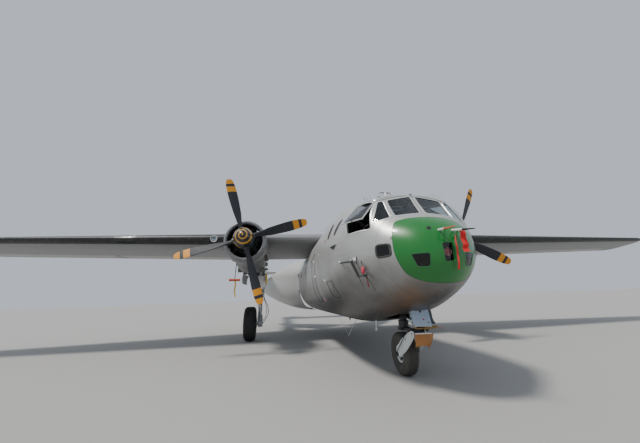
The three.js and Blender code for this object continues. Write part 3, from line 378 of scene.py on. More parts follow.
wingSeams = seamsOf(0.62, 0.83, rivet=0.0055)
looks = {
    "silverPaint": {
        "paint": (0.46, 0.465, 0.45), "rough": 0.36, "metal": 0.4, "dirt": 0.12, "patches": 0.07,
        "layout": "pod", "seams": seamsOf(0.86, 1.18, rivet=0.0055), "seamDark": 0.5, "bump": 0.35,
            "marks": bellyShade,
    },
    "silverDoors": {
        "paint": (0.50, 0.505, 0.49), "rough": 0.38, "metal": 0.3, "dirt": 0.14, "patches": 0.06,
            "bump": 0.3,
    },
    "capPaint": {
        "paint": (0.003, 0.165, 0.02), "rough": 0.32, "coat": 0.3, "coatRough": 0.06, "dirt": 0.04,
            "patches": 0.05,
        "grain": 0.03, "bump": 0.2,
    },
    # nacelles and cowls: their silver paint set mid grey, a painted shade
    "nacelleShadedGrey": {
        "paint": (0.22, 0.225, 0.24), "rough": 0.42, "metal": 0.3, "dirt": 0.35, "patches": 0.12,
        "layout": "boom", "seams": seamsOf(0.7, 0.62, 0.04),
        "grime": (0.035, 0.03, 0.027),
    },
    "boomPaint": {
        "paint": (0.48, 0.485, 0.47), "rough": 0.38, "metal": 0.32, "dirt": 0.16, "patches": 0.06,
        "layout": "boom", "seams": seamsOf(0.95, 0.62),
    },
    # the wing's silver paint, set darker grey than the pod and the flaps: partly painted shade
    "wingShadedPaint": {
        "paint": (0.26, 0.265, 0.27), "rough": 0.45, "metal": 0.25, "dirt": 0.22, "patches": 0.10,
        "layout": "wing", "seams": wingSeams,
    },
    "flapPaint": {
        "paint": (0.44, 0.445, 0.43), "rough": 0.45, "metal": 0.25, "dirt": 0.2, "patches": 0.08,
        "layout": "wing", "seams": wingSeams,
    },
    "finPaint": {
        "paint": (0.46, 0.465, 0.45), "rough": 0.42, "metal": 0.28, "dirt": 0.15, "patches": 0.06,
        "layout": "fin", "seams": seamsOf(0.7, 0.55),
    },
    "frameMetal": {"paint": (0.42, 0.43, 0.42), "rough": 0.35, "metal": 0.6, "dirt": 0.25, "patches": 0.08},
    "innerBlue": {
        "paint": (0.16, 0.21, 0.27), "rough": 0.6, "dirt": 0.25, "patches": 0.12,
            "grime": (0.05, 0.045, 0.04),
    },
    "innerGreen": {"paint": (0.15, 0.19, 0.14), "rough": 0.6, "dirt": 0.2, "patches": 0.1},
    "floorMetal": {"paint": (0.12, 0.125, 0.13), "rough": 0.5, "metal": 0.5, "dirt": 0.5, "patches": 0.2},
    "panelBlack": {"paint": (0.02, 0.021, 0.023), "rough": 0.55, "dirt": 0.1, "patches": 0.15},
    "dialFace": {"paint": (0.006, 0.006, 0.007), "rough": 0.12, "coat": 0.8, "dirt": 0.02, "patches": 0.05},
    "dialWhite": {"paint": (0.75, 0.74, 0.70), "rough": 0.5, "dirt": 0.05},
    "seatCloth": {
        "paint": (0.09, 0.10, 0.06), "rough": 0.9, "dirt": 0.2, "patches": 0.2, "sheen": 0.3,
        "grain": 0.8,
    },
    "castMetal": {"paint": (0.045, 0.047, 0.05), "rough": 0.5, "metal": 0.6, "dirt": 0.5, "patches": 0.3},
    "crankPaint": {"paint": (0.045, 0.07, 0.075), "rough": 0.4, "metal": 0.3, "dirt": 0.3, "patches": 0.2},
    "bladePaint": {
        "paint": (0.02, 0.023, 0.032), "rough": 0.62, "dirt": 0.14, "patches": 0.22,
            "grime": (0.09, 0.09, 0.09),
        "marks": bladeTips,
    },
    "hubMetal": {"paint": (0.10, 0.105, 0.11), "rough": 0.35, "metal": 0.8, "dirt": 0.4, "patches": 0.2},
    "spinnerPaint": {
        "paint": (0.012, 0.012, 0.014), "rough": 0.3, "coat": 0.4, "dirt": 0.06, "marks": spiralLine,
    },
    "exhaustSteel": {
        "paint": (0.14, 0.11, 0.09), "rough": 0.5, "metal": 0.8, "dirt": 0.6, "patches": 0.3,
            "grime": (0.05, 0.025, 0.015),
    },
    "gearSteel": {"paint": (0.36, 0.38, 0.40), "rough": 0.38, "metal": 0.35, "dirt": 0.45, "patches": 0.12},
    "oleoChrome": {"paint": (0.62, 0.62, 0.63), "rough": 0.14, "metal": 1.0, "dirt": 0.1, "patches": 0.03},
    "plateBlue": {"paint": (0.36, 0.45, 0.57), "rough": 0.45, "dirt": 0.3, "patches": 0.12},
    "guardOchre": {
        "paint": (0.40, 0.17, 0.045), "rough": 0.55, "dirt": 0.6, "patches": 0.3,
            "grime": (0.10, 0.06, 0.035),
    },
    # near black: the dark seam lines, and painted shade inside slots, vents and holes
    "darkGap": {"paint": (0.012, 0.012, 0.013), "rough": 0.8, "dirt": 0.05},
    "mainRubber": {
        "paint": (0.016, 0.016, 0.017), "rough": 0.75, "dirt": 0.35, "patches": 0.2,
        "grime": (0.07, 0.062, 0.05),
    },
    "noseRubber": {
        "paint": (0.07, 0.068, 0.06), "rough": 0.9, "dirt": 0.8, "patches": 0.25,
        "grime": (0.19, 0.18, 0.15),
    },
    "hoseRubber": {"paint": (0.012, 0.012, 0.012), "rough": 0.5, "dirt": 0.2},
    "whitePaint": {"paint": (0.78, 0.78, 0.76), "rough": 0.35, "dirt": 0.12},
    "redPaint": {"paint": (0.36, 0.012, 0.014), "rough": 0.5, "dirt": 0.15},
    "redCloth": {
        "paint": (0.62, 0.012, 0.012), "rough": 0.85, "dirt": 0.1, "patches": 0.12, "sheen": 0.3,
        "grain": 0.6,
    },
    "yellowCloth": {
        "paint": (0.72, 0.46, 0.03), "rough": 0.85, "dirt": 0.1, "patches": 0.12, "sheen": 0.3,
        "grain": 0.6,
    },
    "pinkMark": {"paint": (0.52, 0.20, 0.23), "rough": 0.5, "dirt": 0.3, "patches": 0.5},
    "redLight": {"paint": (0.5, 0.008, 0.008), "rough": 0.1, "coat": 1.0, "dirt": 0.02},
    "greenLight": {"paint": (0.008, 0.32, 0.08), "rough": 0.1, "coat": 1.0, "dirt": 0.02},
    "lampMirror": {"paint": (0.85, 0.85, 0.85), "rough": 0.08, "metal": 1.0, "dirt": 0.02},
}
paints = {}
addPaints(looks)
glassMaterial("clearGlass", (0.62, 0.70, 0.72), 0.02)
glassMaterial("smokedGlass", (0.10, 0.13, 0.11), 0.05)
glassMaterial("lampGlass", (0.55, 0.5, 0.5), 0.03)
print("materials made")


# Shapes are pairs of corners and faces until a piece is made of them
def point(x, station, z):
    return Vector((x, noseY + station, z))


def joined(*shapes):
    corners, faces = [], []
    for some, sides in shapes:
        first = len(corners)
        corners.extend(some)
        faces.extend(tuple(first + i for i in side) for side in sides)
    return corners, faces


def moved(shape, matrix):
    return [matrix @ Vector(p) for p in shape[0]], shape[1]


def turnedAt(spot, angle, axis):  # a shape made at the middle, turned and set on a spot
    return Matrix.Translation(spot) @ Matrix.Rotation(angle, 4, axis)


def turnAbout(hinge, angle, axis):
    return turnedAt(hinge, angle, axis) @ Matrix.Translation(-hinge)


def mirrored(shape):
    return [Vector((-p[0], p[1], p[2])) for p in shape[0]], [tuple(reversed(f)) for f in shape[1]]


def onSide(shape, side):  # shapes are modelled to port
    return shape if side > 0 else mirrored(shape)


def loft(rings, caps=True, loop=False):
    count = len(rings[0])
    corners = [Vector(p) for ring in rings for p in ring]
    faces = []
    for r in range(len(rings) if loop else len(rings) - 1):
        near, far = r * count, (r + 1) % len(rings) * count
        for i in range(count):
            j = (i + 1) % count
            faces.append((near + i, near + j, far + j, far + i))
    if caps and not loop:
        faces.append(tuple(reversed(range(count))))
        faces.append(tuple(len(corners) - count + i for i in range(count)))
    return corners, faces


def around(count, shift=0.0):  # angles of things set evenly on a circle
    return [2 * pi * (k + shift) / count for k in range(count)]


def roundTrip(sides):  # cosine and sine of each corner's angle
    return [(cos(a), sin(a)) for a in around(sides)]


def circlePoints(centre, turn, radius, sides):
    return [centre + turn @ Vector((radius * c, radius * s, 0)) for c, s in roundTrip(sides)]


def bar(start, end, radius, endRadius=None, sides=16):
    start, end = Vector(start), Vector(end)
    turn = (end - start).to_track_quat("Z", "Y")
    last = radius if endRadius is None else endRadius
    return loft([circlePoints(start, turn, radius, sides), circlePoints(end, turn, last, sides)])


def tube(points, radius, sides=8, fine=0):
    line = [Vector(p) for p in points]
    if fine:
        line = curveThrough(line, fine)
    turn = (line[1] - line[0]).to_track_quat("Z", "Y")
    rings = []
    for i, p in enumerate(line):
        ahead = (line[min(i + 1, len(line) - 1)] - line[max(i - 1, 0)]).normalized()
        turn = (turn @ Vector((0, 0, 1))).rotation_difference(ahead) @ turn
        rings.append(circlePoints(p, turn, radius, sides))
    return loft(rings)


def curveThrough(points, fine):  # a smooth line through all the points
    line = []
    for i in range(len(points) - 1):
        before = points[max(i - 1, 0)]
        a, b = points[i], points[i + 1]
        after = points[min(i + 2, len(points) - 1)]
        for k in range(fine):
            t = k / fine
            bend = (b - before) * t + (2 * before - 5 * a + 4 * b - after) * t * t
            bend += (3 * a - before - 3 * b + after) * t ** 3
            line.append(a + 0.5 * bend)
    line.append(points[-1].copy())
    return line


def block(low, high):
    (x0, y0, z0), (x1, y1, z1) = low, high
    corners = [Vector((x, y, z)) for z in (z0, z1) for x, y in ((x0, y0), (x1, y0), (x1, y1), (x0, y1))]
    return corners, [(3, 2, 1, 0), (4, 5, 6, 7), (0, 1, 5, 4), (1, 2, 6, 5), (2, 3, 7, 6), (3, 0, 4, 7)]


def prism(outline, axis, start, end):
    order = {"x": lambda u, v, d: (d, u, v), "y": lambda u, v, d: (u, d, v), "z": lambda u, v,
             d: (u, v, d)}[axis]
    return loft([[order(u, v, d) for u, v in outline] for d in (start, end)])


def lathe(profile, centre, axis, sides, closed=False):
    order = {"x": lambda t, u, v: (t, u, v), "y": lambda t, u, v: (u, t, v), "z": lambda t, u,
             v: (u, v, t)}[axis]
    rings = []
    for radius, along in profile:
        rings.append([Vector(centre) + Vector(order(along, radius * c, radius * s)) for c,
                      s in roundTrip(sides)])
    return loft(rings, caps=False, loop=closed)


def pinAt(spot, reach, radius, sides=16):  # a bar that reaches as far to both sides of a spot
    return bar(Vector(spot) - Vector(reach), Vector(spot) + Vector(reach), radius, sides=sides)


def tempObject(shape):
    mesh = bpy.data.meshes.new("cutter")
    mesh.from_pydata([tuple(p) for p in shape[0]], [], shape[1])
    tidyMesh(mesh)
    made = bpy.data.objects.new("cutter", mesh)
    bpy.context.scene.collection.objects.link(made)
    return made


def tidyMesh(mesh):
    work = bmesh.new()
    work.from_mesh(mesh)
    bmesh.ops.remove_doubles(work, verts=work.verts, dist=2e-5)
    bmesh.ops.recalc_face_normals(work, faces=work.faces)
    work.to_mesh(mesh)
    work.free()
    mesh.update()


def combined(shape, other, operation):
    first, second = tempObject(shape), tempObject(other)
    cut = first.modifiers.new("cut", "BOOLEAN")
    cut.operation = operation
    cut.solver = "EXACT"
    cut.object = second
    bpy.context.view_layer.update()
    mesh = first.evaluated_get(bpy.context.evaluated_depsgraph_get()).to_mesh()
    result = [v.co.copy() for v in mesh.vertices], [tuple(f.vertices) for f in mesh.polygons]
    for item in (first, second):
        data = item.data
        bpy.data.objects.remove(item)
        bpy.data.meshes.remove(data)
    return result


def cut(shape, *others):
    for other in others:
        shape = combined(shape, other, "DIFFERENCE")
    return shape


def common(shape, other):
    return combined(shape, other, "INTERSECT")


def piece(name, shape, paint, slot, body="airframe", sharp=32, bevel=0.0, replaces=None):
    shape = joined(*shape) if isinstance(shape, list) else shape
    mesh = bpy.data.meshes.new(name)
    mesh.from_pydata([tuple(p) for p in shape[0]], [], shape[1])
    tidyMesh(mesh)
    mesh.shade_smooth()
    mesh.set_sharp_from_angle(angle=radians(sharp))
    mesh.materials.append(paints[paint])
    made = bpy.data.objects.new(name, mesh)
    bpy.context.scene.collection.objects.link(made)
    if bevel:
        edge = made.modifiers.new("edges", "BEVEL")
        edge.width = bevel
        edge.segments = 2
        edge.limit_method = "ANGLE"
        edge.angle_limit = radians(38)
    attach(made, body)
    if replaces:
        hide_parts(replaces)
    return made


def easedRow(rows, where, root=1.0):  # a smooth row between the given ones, with no overshoot
    line = [max(row[0], 0) ** root for row in rows]
    t = max(where, 0) ** root
    i = min(max(bisect.bisect_right(line, t) - 1, 0), len(line) - 2)
    span = line[i + 1] - line[i]
    w = (t - line[i]) / span
    out = [where]
    for k in range(1, len(rows[0])):

        def slope(j):
            left = (rows[j][k] - rows[j - 1][k]) / (line[j] - line[j - 1]) if j > 0 else None
            right = (rows[j + 1][k] - rows[j][k]) / (line[j + 1] - line[j]) if j + 1 < len(rows) else None
            if left is None or right is None:
                return right if left is None else left
            return 0.0 if left * right <= 0 else 2 * left * right / (left + right)

        a, b = rows[i][k], rows[i + 1][k]
        ga, gb = slope(i) * span, slope(i + 1) * span
        out.append(
            a * (1 - 3 * w * w + 2 * w ** 3) + b * (3 * w * w - 2 * w ** 3)
            + ga * (w - 2 * w * w + w ** 3) + gb * (w ** 3 - w * w)
        )
    return out


def power(value, exponent):
    return copysign(abs(value) ** exponent, value)


# Pod, row by row: station, half width, bottom, top, widest height, fullness above and below
podRows = (
    (0, 0.03, 2.205, 2.26, 2.232, 2.0, 2.0),
    (0.04, 0.245, 2.005, 2.462, 2.234, 2.0, 2.0),
    (0.12, 0.424, 1.87, 2.655, 2.27, 2.05, 1.9),
    (0.32, 0.683, 1.655, 2.887, 2.31, 2.17, 1.78),
    (0.58, 0.925, 1.52, 3.065, 2.37, 2.4, 1.7),
    (0.8, 1.07, 1.44, 3.33, 2.38, 2.52, 1.68),
    (1.04, 1.25, 1.38, 3.63, 2.405, 2.67, 1.7),
    (1.6, 1.42, 1.24, 3.81, 2.42, 2.27, 1.92),
    (2.2, 1.52, 1.145, 3.97, 2.438, 2.1, 2.05),
    (3.0, 1.54, 1.015, 4.165, 2.45, 2.2, 2.2),
    (3.8, 1.55, 0.955, 4.18, 2.45, 2.3, 2.3),
    (5.5, 1.55, 0.95, 4.18, 2.45, 2.35, 2.35),
    (9.3, 1.55, 0.95, 4.12, 2.45, 2.4, 2.4),
    (11.2, 1.545, 0.955, 3.93, 2.43, 2.4, 2.4),
)
coneRows = (
    (11.21, 1.545, 0.955, 3.93, 2.43, 2.4, 2.4),
    (12.0, 1.49, 1.02, 3.84, 2.425, 2.35, 2.35),
    (13.0, 1.3, 1.22, 3.62, 2.41, 2.25, 2.25),
    (14.0, 0.98, 1.52, 3.28, 2.39, 2.15, 2.15),
    (14.8, 0.63, 1.83, 2.93, 2.37, 2.05, 2.05),
    (15.4, 0.3, 2.09, 2.65, 2.36, 2.0, 2.0),
    (15.65, 0.08, 2.29, 2.44, 2.36, 2.0, 2.0),
)
pod = {
    "wall": 0.022,
    "sides": 96,
    "splitStation": 3.4,
    "endStation": 11.2,
    "capDepth": 0.78,
    "crewDoor": (3.72, 4.52, 1.40, 3.02),
    "holdLights": (5.6, 7.7, 9.8),
    "holdLightHeight": 2.75,
    "holdLightRadius": 0.15,
}
clamDoors = {"hingeX": 1.585, "hingeStation": 11.215, "heights": (1.98, 2.85), "open": 48}
crewHinge = {"x": 1.58, "station": 3.704, "heights": (2.1, 2.7)}
podStep = 0.02
podFine = [easedRow(podRows, i * podStep, 0.5) for i in range(round(pod["endStation"] / podStep) + 2)]


def podRow(where):
    place = min(max(where / podStep, 0), len(podFine) - 1.001)
    i = int(place)
    share = place - i
    return [a + (b - a) * share for a, b in zip(podFine[i], podFine[i + 1])]


def ringOf(row, inset, sides):
    where, half, low, high, middle, upper, lower = row
    blunt = max(0.0, 1 - where) * inset
    ring = []
    for c, s in roundTrip(sides):
        bend = upper if s >= 0 else lower
        reach = high - middle - inset if s >= 0 else middle - low - inset
        ring.append(Vector((
            power(c, 2 / bend) * (half - inset), noseY + where + blunt, middle + power(s, 2 / bend) * reach,
        )))
    return ring


def podField(p):  # below zero inside the pod's skin
    _, half, low, high, middle, upper, lower = podRow(p[1] - noseY)
    bend, reach = (upper, high - middle) if p[2] >= middle else (lower, middle - low)
    return abs(p[0] / half) ** bend + abs((p[2] - middle) / reach) ** bend - 1


def podNormal(p):
    step = 0.004
    slopes = []
    for axis in range(3):
        a, b = Vector(p), Vector(p)
        a[axis] -= step
        b[axis] += step
        slopes.append(podField(b) - podField(a))
    return Vector(slopes).normalized()


def fromSide(side):  # where a station and a height meet the skin on one side
    def place(where, height):
        _, half, low, high, middle, upper, lower = podRow(where)
        bend, reach = (upper, high - middle) if height >= middle else (lower, middle - low)
        share = min(1.0, abs((height - middle) / reach))
        return point(side * half * (1 - share ** bend) ** (1 / bend), where, height)

    return place


def fromAhead(x, height):  # where a line aft along a distance out and a height meets the skin
    near, far = 0.05, 3.2
    for _ in range(26):
        half = (near + far) / 2
        if podField((x, noseY + half, height)) > 0:
            near = half
        else:
            far = half
    return point(x, far, height)


def fromAbove(x, where):
    _, half, _, high, middle, upper, _ = podRow(where)
    share = min(1.0, abs(x / half))
    return point(x, where, middle + (high - middle) * (1 - share ** upper) ** (1 / upper))


def outlineOf(corners, radius=0.0, steps=4, spacing=0.05):  # a dense closed outline with rounded corners
    points = []
    count = len(corners)
    for i in range(count):
        here = Vector(corners[i])
        back = (Vector(corners[i - 1]) - here)
        on = (Vector(corners[(i + 1) % count]) - here)
        size = min(radius, back.length * 0.45, on.length * 0.45)
        start, end = here + back.normalized() * size, here + on.normalized() * size
        if size > 0:
            for k in range(steps + 1):
                t = k / steps
                points.append(start * (1 - t) ** 2 + here * 2 * t * (1 - t) + end * t * t)
        else:
            points.append(here)
    dense = []
    for i, a in enumerate(points):
        b = points[(i + 1) % len(points)]
        cuts = max(1, ceil((b - a).length / spacing))
        dense.extend(a.lerp(b, k / cuts) for k in range(cuts))
    return dense


def ovalOf(u, v, halfU, halfV, steps=36):
    return [Vector((u + halfU * c, v + halfV * s)) for c, s in roundTrip(steps)]


def grown(outline, distance):  # the outline moved outwards by a distance
    count = len(outline)
    area = sum(outline[i - 1].cross(outline[i]) for i in range(count))
    turn = 1 if area > 0 else -1
    moved2d = []
    for i in range(count):
        ahead = (outline[(i + 1) % count] - outline[i - 1]).normalized()
        moved2d.append(outline[i] + Vector((ahead.y, -ahead.x)) * distance * turn)
    return moved2d


def onSkin(place, outline, lift):
    ring = []
    for p in outline:
        spot = place(p[0], p[1])
        ring.append(spot + podNormal(spot) * lift)
    return ring


def rim(place, outline, band):  # a raised frame around an opening: band holds pairs of growth and lift
    return loft([onSkin(place, grown(outline, growth), lift) for growth, lift in band], loop=True)


def pane(place, outline, lift, thick, shrink=0.0, rings=7):  # a curved sheet that fills an outline
    middle = sum(outline, Vector((0, 0))) / len(outline)
    edge = grown(outline, -shrink) if shrink else outline
    spots = [[middle.lerp(p, max(k, 0.02) / rings) for p in edge] for k in range(rings + 1)]
    return loft([onSkin(place, s, lift) for s in spots] + [onSkin(place, s, lift - thick)
                                                           for s in reversed(spots)])


def stationRows(rows, stops, root=0.5):
    return [easedRow(rows, s, root) for s in stops]


def spread(start, end, count):
    return [start + (end - start) * i / count for i in range(count + 1)]


def shellOf(rows, wall, sides, openFront):
    outer = [ringOf(row, 0.0, sides) for row in rows]
    inner = [ringOf(row, wall, sides) for row in reversed(rows)]
    return loft(outer + inner, loop=openFront)


noseStops = [0.0, 0.01, 0.025, 0.045, 0.07, 0.1, 0.14, 0.18, 0.23, 0.28, 0.34, 0.4, 0.46, 0.52, 0.58]
noseStops += spread(0.62, 1.2, 14) + spread(1.26, pod["splitStation"] - 0.001, 24)
capHalf = ((0, 2.972), (0.3, 2.962), (0.5, 2.935), (0.62, 2.89), (0.7, 2.771), (0.745, 2.613),
           (0.763, 2.427), (0.745, 2.267), (0.686, 2.11), (0.597, 1.973), (0.475, 1.884), (0.316, 1.821),
           (0.13, 1.797), (0, 1.793))
frontPanes = {
    "main": ((0.06, 3.095), (0.555, 3.045), (0.565, 3.455), (0.05, 3.56)),
    "quarter": ((0.64, 3.02), (0.945, 2.955), (0.745, 3.43), (0.635, 3.44)),
}
capPanes = {
    "left": ((-0.56, 2.262), (-0.305, 2.262), (-0.31, 2.05), (-0.47, 2.055)),
    "middle": ((-0.095, 2.12), (0.095, 2.12), (0.095, 2.42), (-0.095, 2.42)),
    "right": ((0.56, 2.262), (0.305, 2.262), (0.31, 2.05), (0.47, 2.055)),
}
sidePane = ((0.99, 3.44), (1.86, 3.63), (1.5, 3.1), (1.27, 2.83), (0.79, 2.83))
lowerPane = ((0.445, 2.285), (0.65, 2.275), (0.652, 2.482), (0.455, 2.47))
ovalPanes = ((2.09, 3.195, 0.085, 0.18), (2.68, 3.22, 0.085, 0.18))


def smoothRing(ring):
    return curveThrough([ring[-1]] + ring + ring[:2], 4)[4:-4]


def capEdge():
    half = [Vector(p) for p in capHalf]
    return smoothRing(half + [Vector((-p.x, p.y)) for p in reversed(half[1:-1])])


def mirroredOutline(corners):
    return [(-u, v) for u, v in corners]


def paneList():  # every cockpit opening: name, axis of the cut, outline, place on the skin
    found = []
    for word, side in bothSides:
        for name, corners in frontPanes.items():
            turned = corners if side > 0 else mirroredOutline(corners)
            found.append((name + word, "y", side, outlineOf(turned, 0.045), fromAhead))
        found.append(("side" + word, "x", side, outlineOf(sidePane, 0.05), fromSide(side)))
        found.append(("lower" + word, "x", side, outlineOf(lowerPane, 0.045), fromSide(side)))
        for i, o in enumerate(ovalPanes):
            found.append((f"oval{i + 1}{word}", "x", side, ovalOf(*o), fromSide(side)))
    return found


cockpitPanes = paneList()


def cutterFor(axis, side, outline):
    if axis == "y":
        return prism(outline, "y", noseY + 0.3, noseY + 1.5)
    ends = sorted((side * 0.56, side * 2.0))
    return prism([(noseY + p[0], p[1]) for p in outline], "x", *ends)


def buildNose():
    shell = shellOf(stationRows(podRows, noseStops), pod["wall"], pod["sides"], False)
    for _, axis, side, outline, _ in cockpitPanes:
        shell = cut(shell, cutterFor(axis, side, outline))
    for corners in capPanes.values():
        shell = cut(shell, prism(outlineOf(corners, 0.035), "y", noseY - 0.1, noseY + 0.5))
    zone = prism(capEdge(), "y", noseY - 0.1, noseY + pod["capDepth"])
    wide = prism(grown(capEdge(), 0.004), "y", noseY - 0.1, noseY + pod["capDepth"])
    piece("noseCap", common(shell, zone), "capPaint", "green_cap", replaces="nose_cap")
    bay = block(point(-0.23, 1.64, 0.9), point(0.23, 2.62, 1.5))
    hull = cut(shell, wide, bay)
    piece("frontHull", hull, "silverPaint", "silver_skin", replaces="front_hull")


def buildPod():
    stops = spread(pod["splitStation"] + 0.002, pod["endStation"], 60)
    rows = stationRows(podRows, stops)
    shell = shellOf(rows, pod["wall"], pod["sides"], True)
    a, b, low, high = pod["crewDoor"]
    door = outlineOf(((a, low), (b, low), (b, high), (a, high)), 0.09, 5, 0.2)
    wide = prism([(noseY + p[0], p[1]) for p in grown(door, 0.008)], "x", 0.8, 2.0)
    narrow = prism([(noseY + p[0], p[1]) for p in door], "x", 0.8, 2.0)
    crew = common(shell, narrow)
    hull = cut(shell, wide)
    for where in pod["holdLights"]:
        hole = ovalOf(where, pod["holdLightHeight"], pod["holdLightRadius"], pod["holdLightRadius"])
        for side in (1, -1):
            hull = cut(hull, cutterFor("x", side, hole))
    piece("mainPod", hull, "silverPaint", "silver_skin", replaces="main_pod")
    lugs = []
    doorHinge = (clamDoors["hingeX"], clamDoors["hingeStation"], clamDoors["heights"], 0.02, 0.032)
    crewPins = (crewHinge["x"], crewHinge["station"], crewHinge["heights"], 0.014, 0.022)
    for side, (out, where, heights, pin, boss) in ((1, doorHinge), (-1, doorHinge), (1, crewPins)):
        x, y = side * out, noseY + where
        for z in heights:
            lugs.append(bar((x, y, z - 0.066), (x, y, z + 0.066), pin, sides=20))
            for end in (-1, 1):
                mid = z + end * 0.052
                lugs.append(bar((x, y, mid - 0.014), (x, y, mid + 0.014), boss, sides=20))
                edges = sorted((side * (abs(x) - 0.075), side * (abs(x) - boss * 0.5)))
                lugs.append(block((edges[0], y - 0.11, mid - 0.014),
                                  (edges[1], y - boss * 0.55, mid + 0.014)))
    piece("podHingeEars", lugs, "frameMetal", "silver_skin", bevel=0.003)
    straps = []
    x, y = crewHinge["x"], noseY + crewHinge["station"]
    for z in crewHinge["heights"]:
        straps.append(block((1.49, y + 0.026, z - 0.03), (1.588, y + 0.09, z + 0.03)))
        straps.append(bar((x, y, z - 0.03), (x, y, z + 0.03), 0.022, sides=20))
        straps.append(block((1.572, y, z - 0.03), (1.588, y + 0.04, z + 0.03)))
    piece("crewDoor", crew, "silverPaint", "silver_skin", "crew_door_leaf", replaces="crew_door")
    piece("crewDoorStraps", straps, "frameMetal", "silver_skin", "crew_door_leaf", bevel=0.003)


def clamDoor(word, side):
    stops = spread(11.21, 12.6, 12) + spread(12.7, 15.4, 24) + [15.46, 15.52, 15.57, 15.61, 15.635, 15.65]
    rows = [easedRow(coneRows, s) for s in stops]
    innerStops = [s for s in stops if s < 15.3]
    outer = [ringOf(row, 0.0, pod["sides"]) for row in rows]
    inner = [ringOf(easedRow(coneRows, s), pod["wall"], pod["sides"]) for s in reversed(innerStops)]
    shell = loft(inner + outer)
    edges = sorted((side * 0.004, side * 3.0))
    leaf = common(shell, block((edges[0], 0, 0), (edges[1], 6, 6)))
    hinge = point(side * clamDoors["hingeX"], clamDoors["hingeStation"], 2.43)
    turn = turnAbout(hinge, -side * radians(clamDoors["open"]), "Z")
    straps = []
    for z in clamDoors["heights"]:
        far = sorted((side * 1.467, side * 1.597))
        straps.append(block((far[0], hinge.y + 0.02, z - 0.03), (far[1], hinge.y + 0.095, z + 0.03)))
        straps.append(bar((hinge.x, hinge.y, z - 0.03), (hinge.x, hinge.y, z + 0.03), 0.032, sides=20))
    ribs = []
    for s in (11.35, 11.95, 12.55, 13.15, 13.75, 14.35, 14.9):
        arc = spread(-0.5 * pi + 0.05, 0.5 * pi - 0.05, 28)
        ribs.append(hoopOf(easedRow(coneRows, s), arc, side, 0.024, 0.095, 0.02))
    for angle in (-1.1, -0.7, -0.3, 0.1, 0.5, 0.9, 1.25):
        line = [arcOf(easedRow(coneRows, s), 0.045, [angle], side)[0] for s in spread(11.3, 15.0, 16)]
        ribs.append(tube(line, 0.018, 6))
    body = "door_leaf_" + word.lower()
    piece("tailDoor" + word, moved(leaf, turn), "silverDoors", "silver_skin", body,
          replaces="door_" + word.lower())
    piece("tailDoorStraps" + word, moved(joined(*straps), turn), "frameMetal", "silver_skin", body,
          bevel=0.003)
    piece("tailDoorRibs" + word, moved(joined(*ribs), turn), "innerBlue", "panel", body, sharp=40)


def arcOf(row, inset, angles, side):
    where, half, low, high, middle, upper, lower = row
    points = []
    for angle in angles:
        c, s = cos(angle), sin(angle)
        bend = upper if s >= 0 else lower
        reach = high - middle - inset if s >= 0 else middle - low - inset
        points.append(point(side * power(c, 2 / bend) * (half - inset), where,
                            middle + power(s, 2 / bend) * reach))
    return points


def hoopOf(row, angles, side, near, far, half):  # a rib between two depths below the skin
    ring = []
    for inset, shift in ((near, -half), (far, -half), (far, half), (near, half)):
        ring.append([p + Vector((0, shift, 0)) for p in arcOf(row, inset, angles, side)])
    return loft([list(corner) for corner in zip(*ring)])


buildNose()
buildPod()
clamDoor("Port", 1)
clamDoor("Starboard", -1)
print("pod built")


# Wing, row by row: distance out, leading edge station and height, trailing edge height, chord, thickness
# as a share of the chord
wingRows = (
    (0, 6.78, 3.975, 3.66, 4.0, 0.155),
    (4.56, 6.78, 3.975, 3.66, 4.0, 0.155),
    (15.7, 7.19, 4.02, 3.7, 1.79, 0.125),
    (16.08, 7.3, 4.01, 3.73, 1.48, 0.115),
    (16.25, 7.56, 3.99, 3.79, 0.9, 0.1),
)
wing = {
    "join": 4.56,
    "hinge": 0.74,
    "bow": 0.018,
    "flap": (4.7, 9.6),
    "aileron": (9.78, 15.4),
    "steps": 30,
}
controls = {"clearance": 0.013, "endClearance": 0.02, "pin": 0.014, "pinReach": 0.045}


def thicknessAt(share, ratio, chord):
    shape = 0.2969 * sqrt(share) - 0.126 * share - 0.3516 * share ** 2 + 0.2843 * share ** 3
    return 5 * ratio * chord * (shape - 0.1036 * share ** 4)


def straightRow(rows, where):
    i = 0
    while i < len(rows) - 2 and where > rows[i + 1][0]:
        i += 1
    share = (where - rows[i][0]) / (rows[i + 1][0] - rows[i][0])
    return [a + (b - a) * share for a, b in zip(rows[i], rows[i + 1])]


def wingRow(x):
    return straightRow(wingRows, x) if x <= 15.7 else easedRow(wingRows[2:], x)


def sectionOf(row, bow, steps, thin=1.0):
    x, lead, leadHeight, trailHeight, chord, ratio = row
    shares = [(1 - cos(pi * i / steps)) / 2 for i in range(steps + 1)]
    upper, lower = [], []
    for f in shares:
        line = leadHeight + (trailHeight - leadHeight) * f + bow * chord * 4 * f * (1 - f)
        half = (thicknessAt(f, ratio, chord) + 0.004) * thin
        upper.append(Vector((x, noseY + lead + f * chord, line + half)))
        lower.append(Vector((x, noseY + lead + f * chord, line - half)))
    return upper[::-1] + lower


def setAcross(ring, x):
    return [Vector((x, p.y, p.z)) for p in ring]


def wingLoft(stops):
    return loft([setAcross(sectionOf(wingRow(abs(x)), wing["bow"], wing["steps"]), x) for x in stops])


def hingeSpot(x):
    _, lead, leadHeight, trailHeight, chord, _ = wingRow(x)
    h = wing["hinge"]
    rise = (trailHeight - leadHeight) * h + wing["bow"] * chord * 4 * h * (1 - h)
    return Vector((x, noseY + lead + h * chord, leadHeight + rise))


def hingeRadius(x):
    row = wingRow(x)
    return thicknessAt(wing["hinge"], row[5], row[4]) + 0.006


def roundSection(centre, radius, axis, sides=28):
    order = (lambda u, v: (0, u, v)) if axis == "x" else (lambda u, v: (u, v, 0))
    return [centre + Vector(order(radius * c, radius * s)) for c, s in roundTrip(sides)]


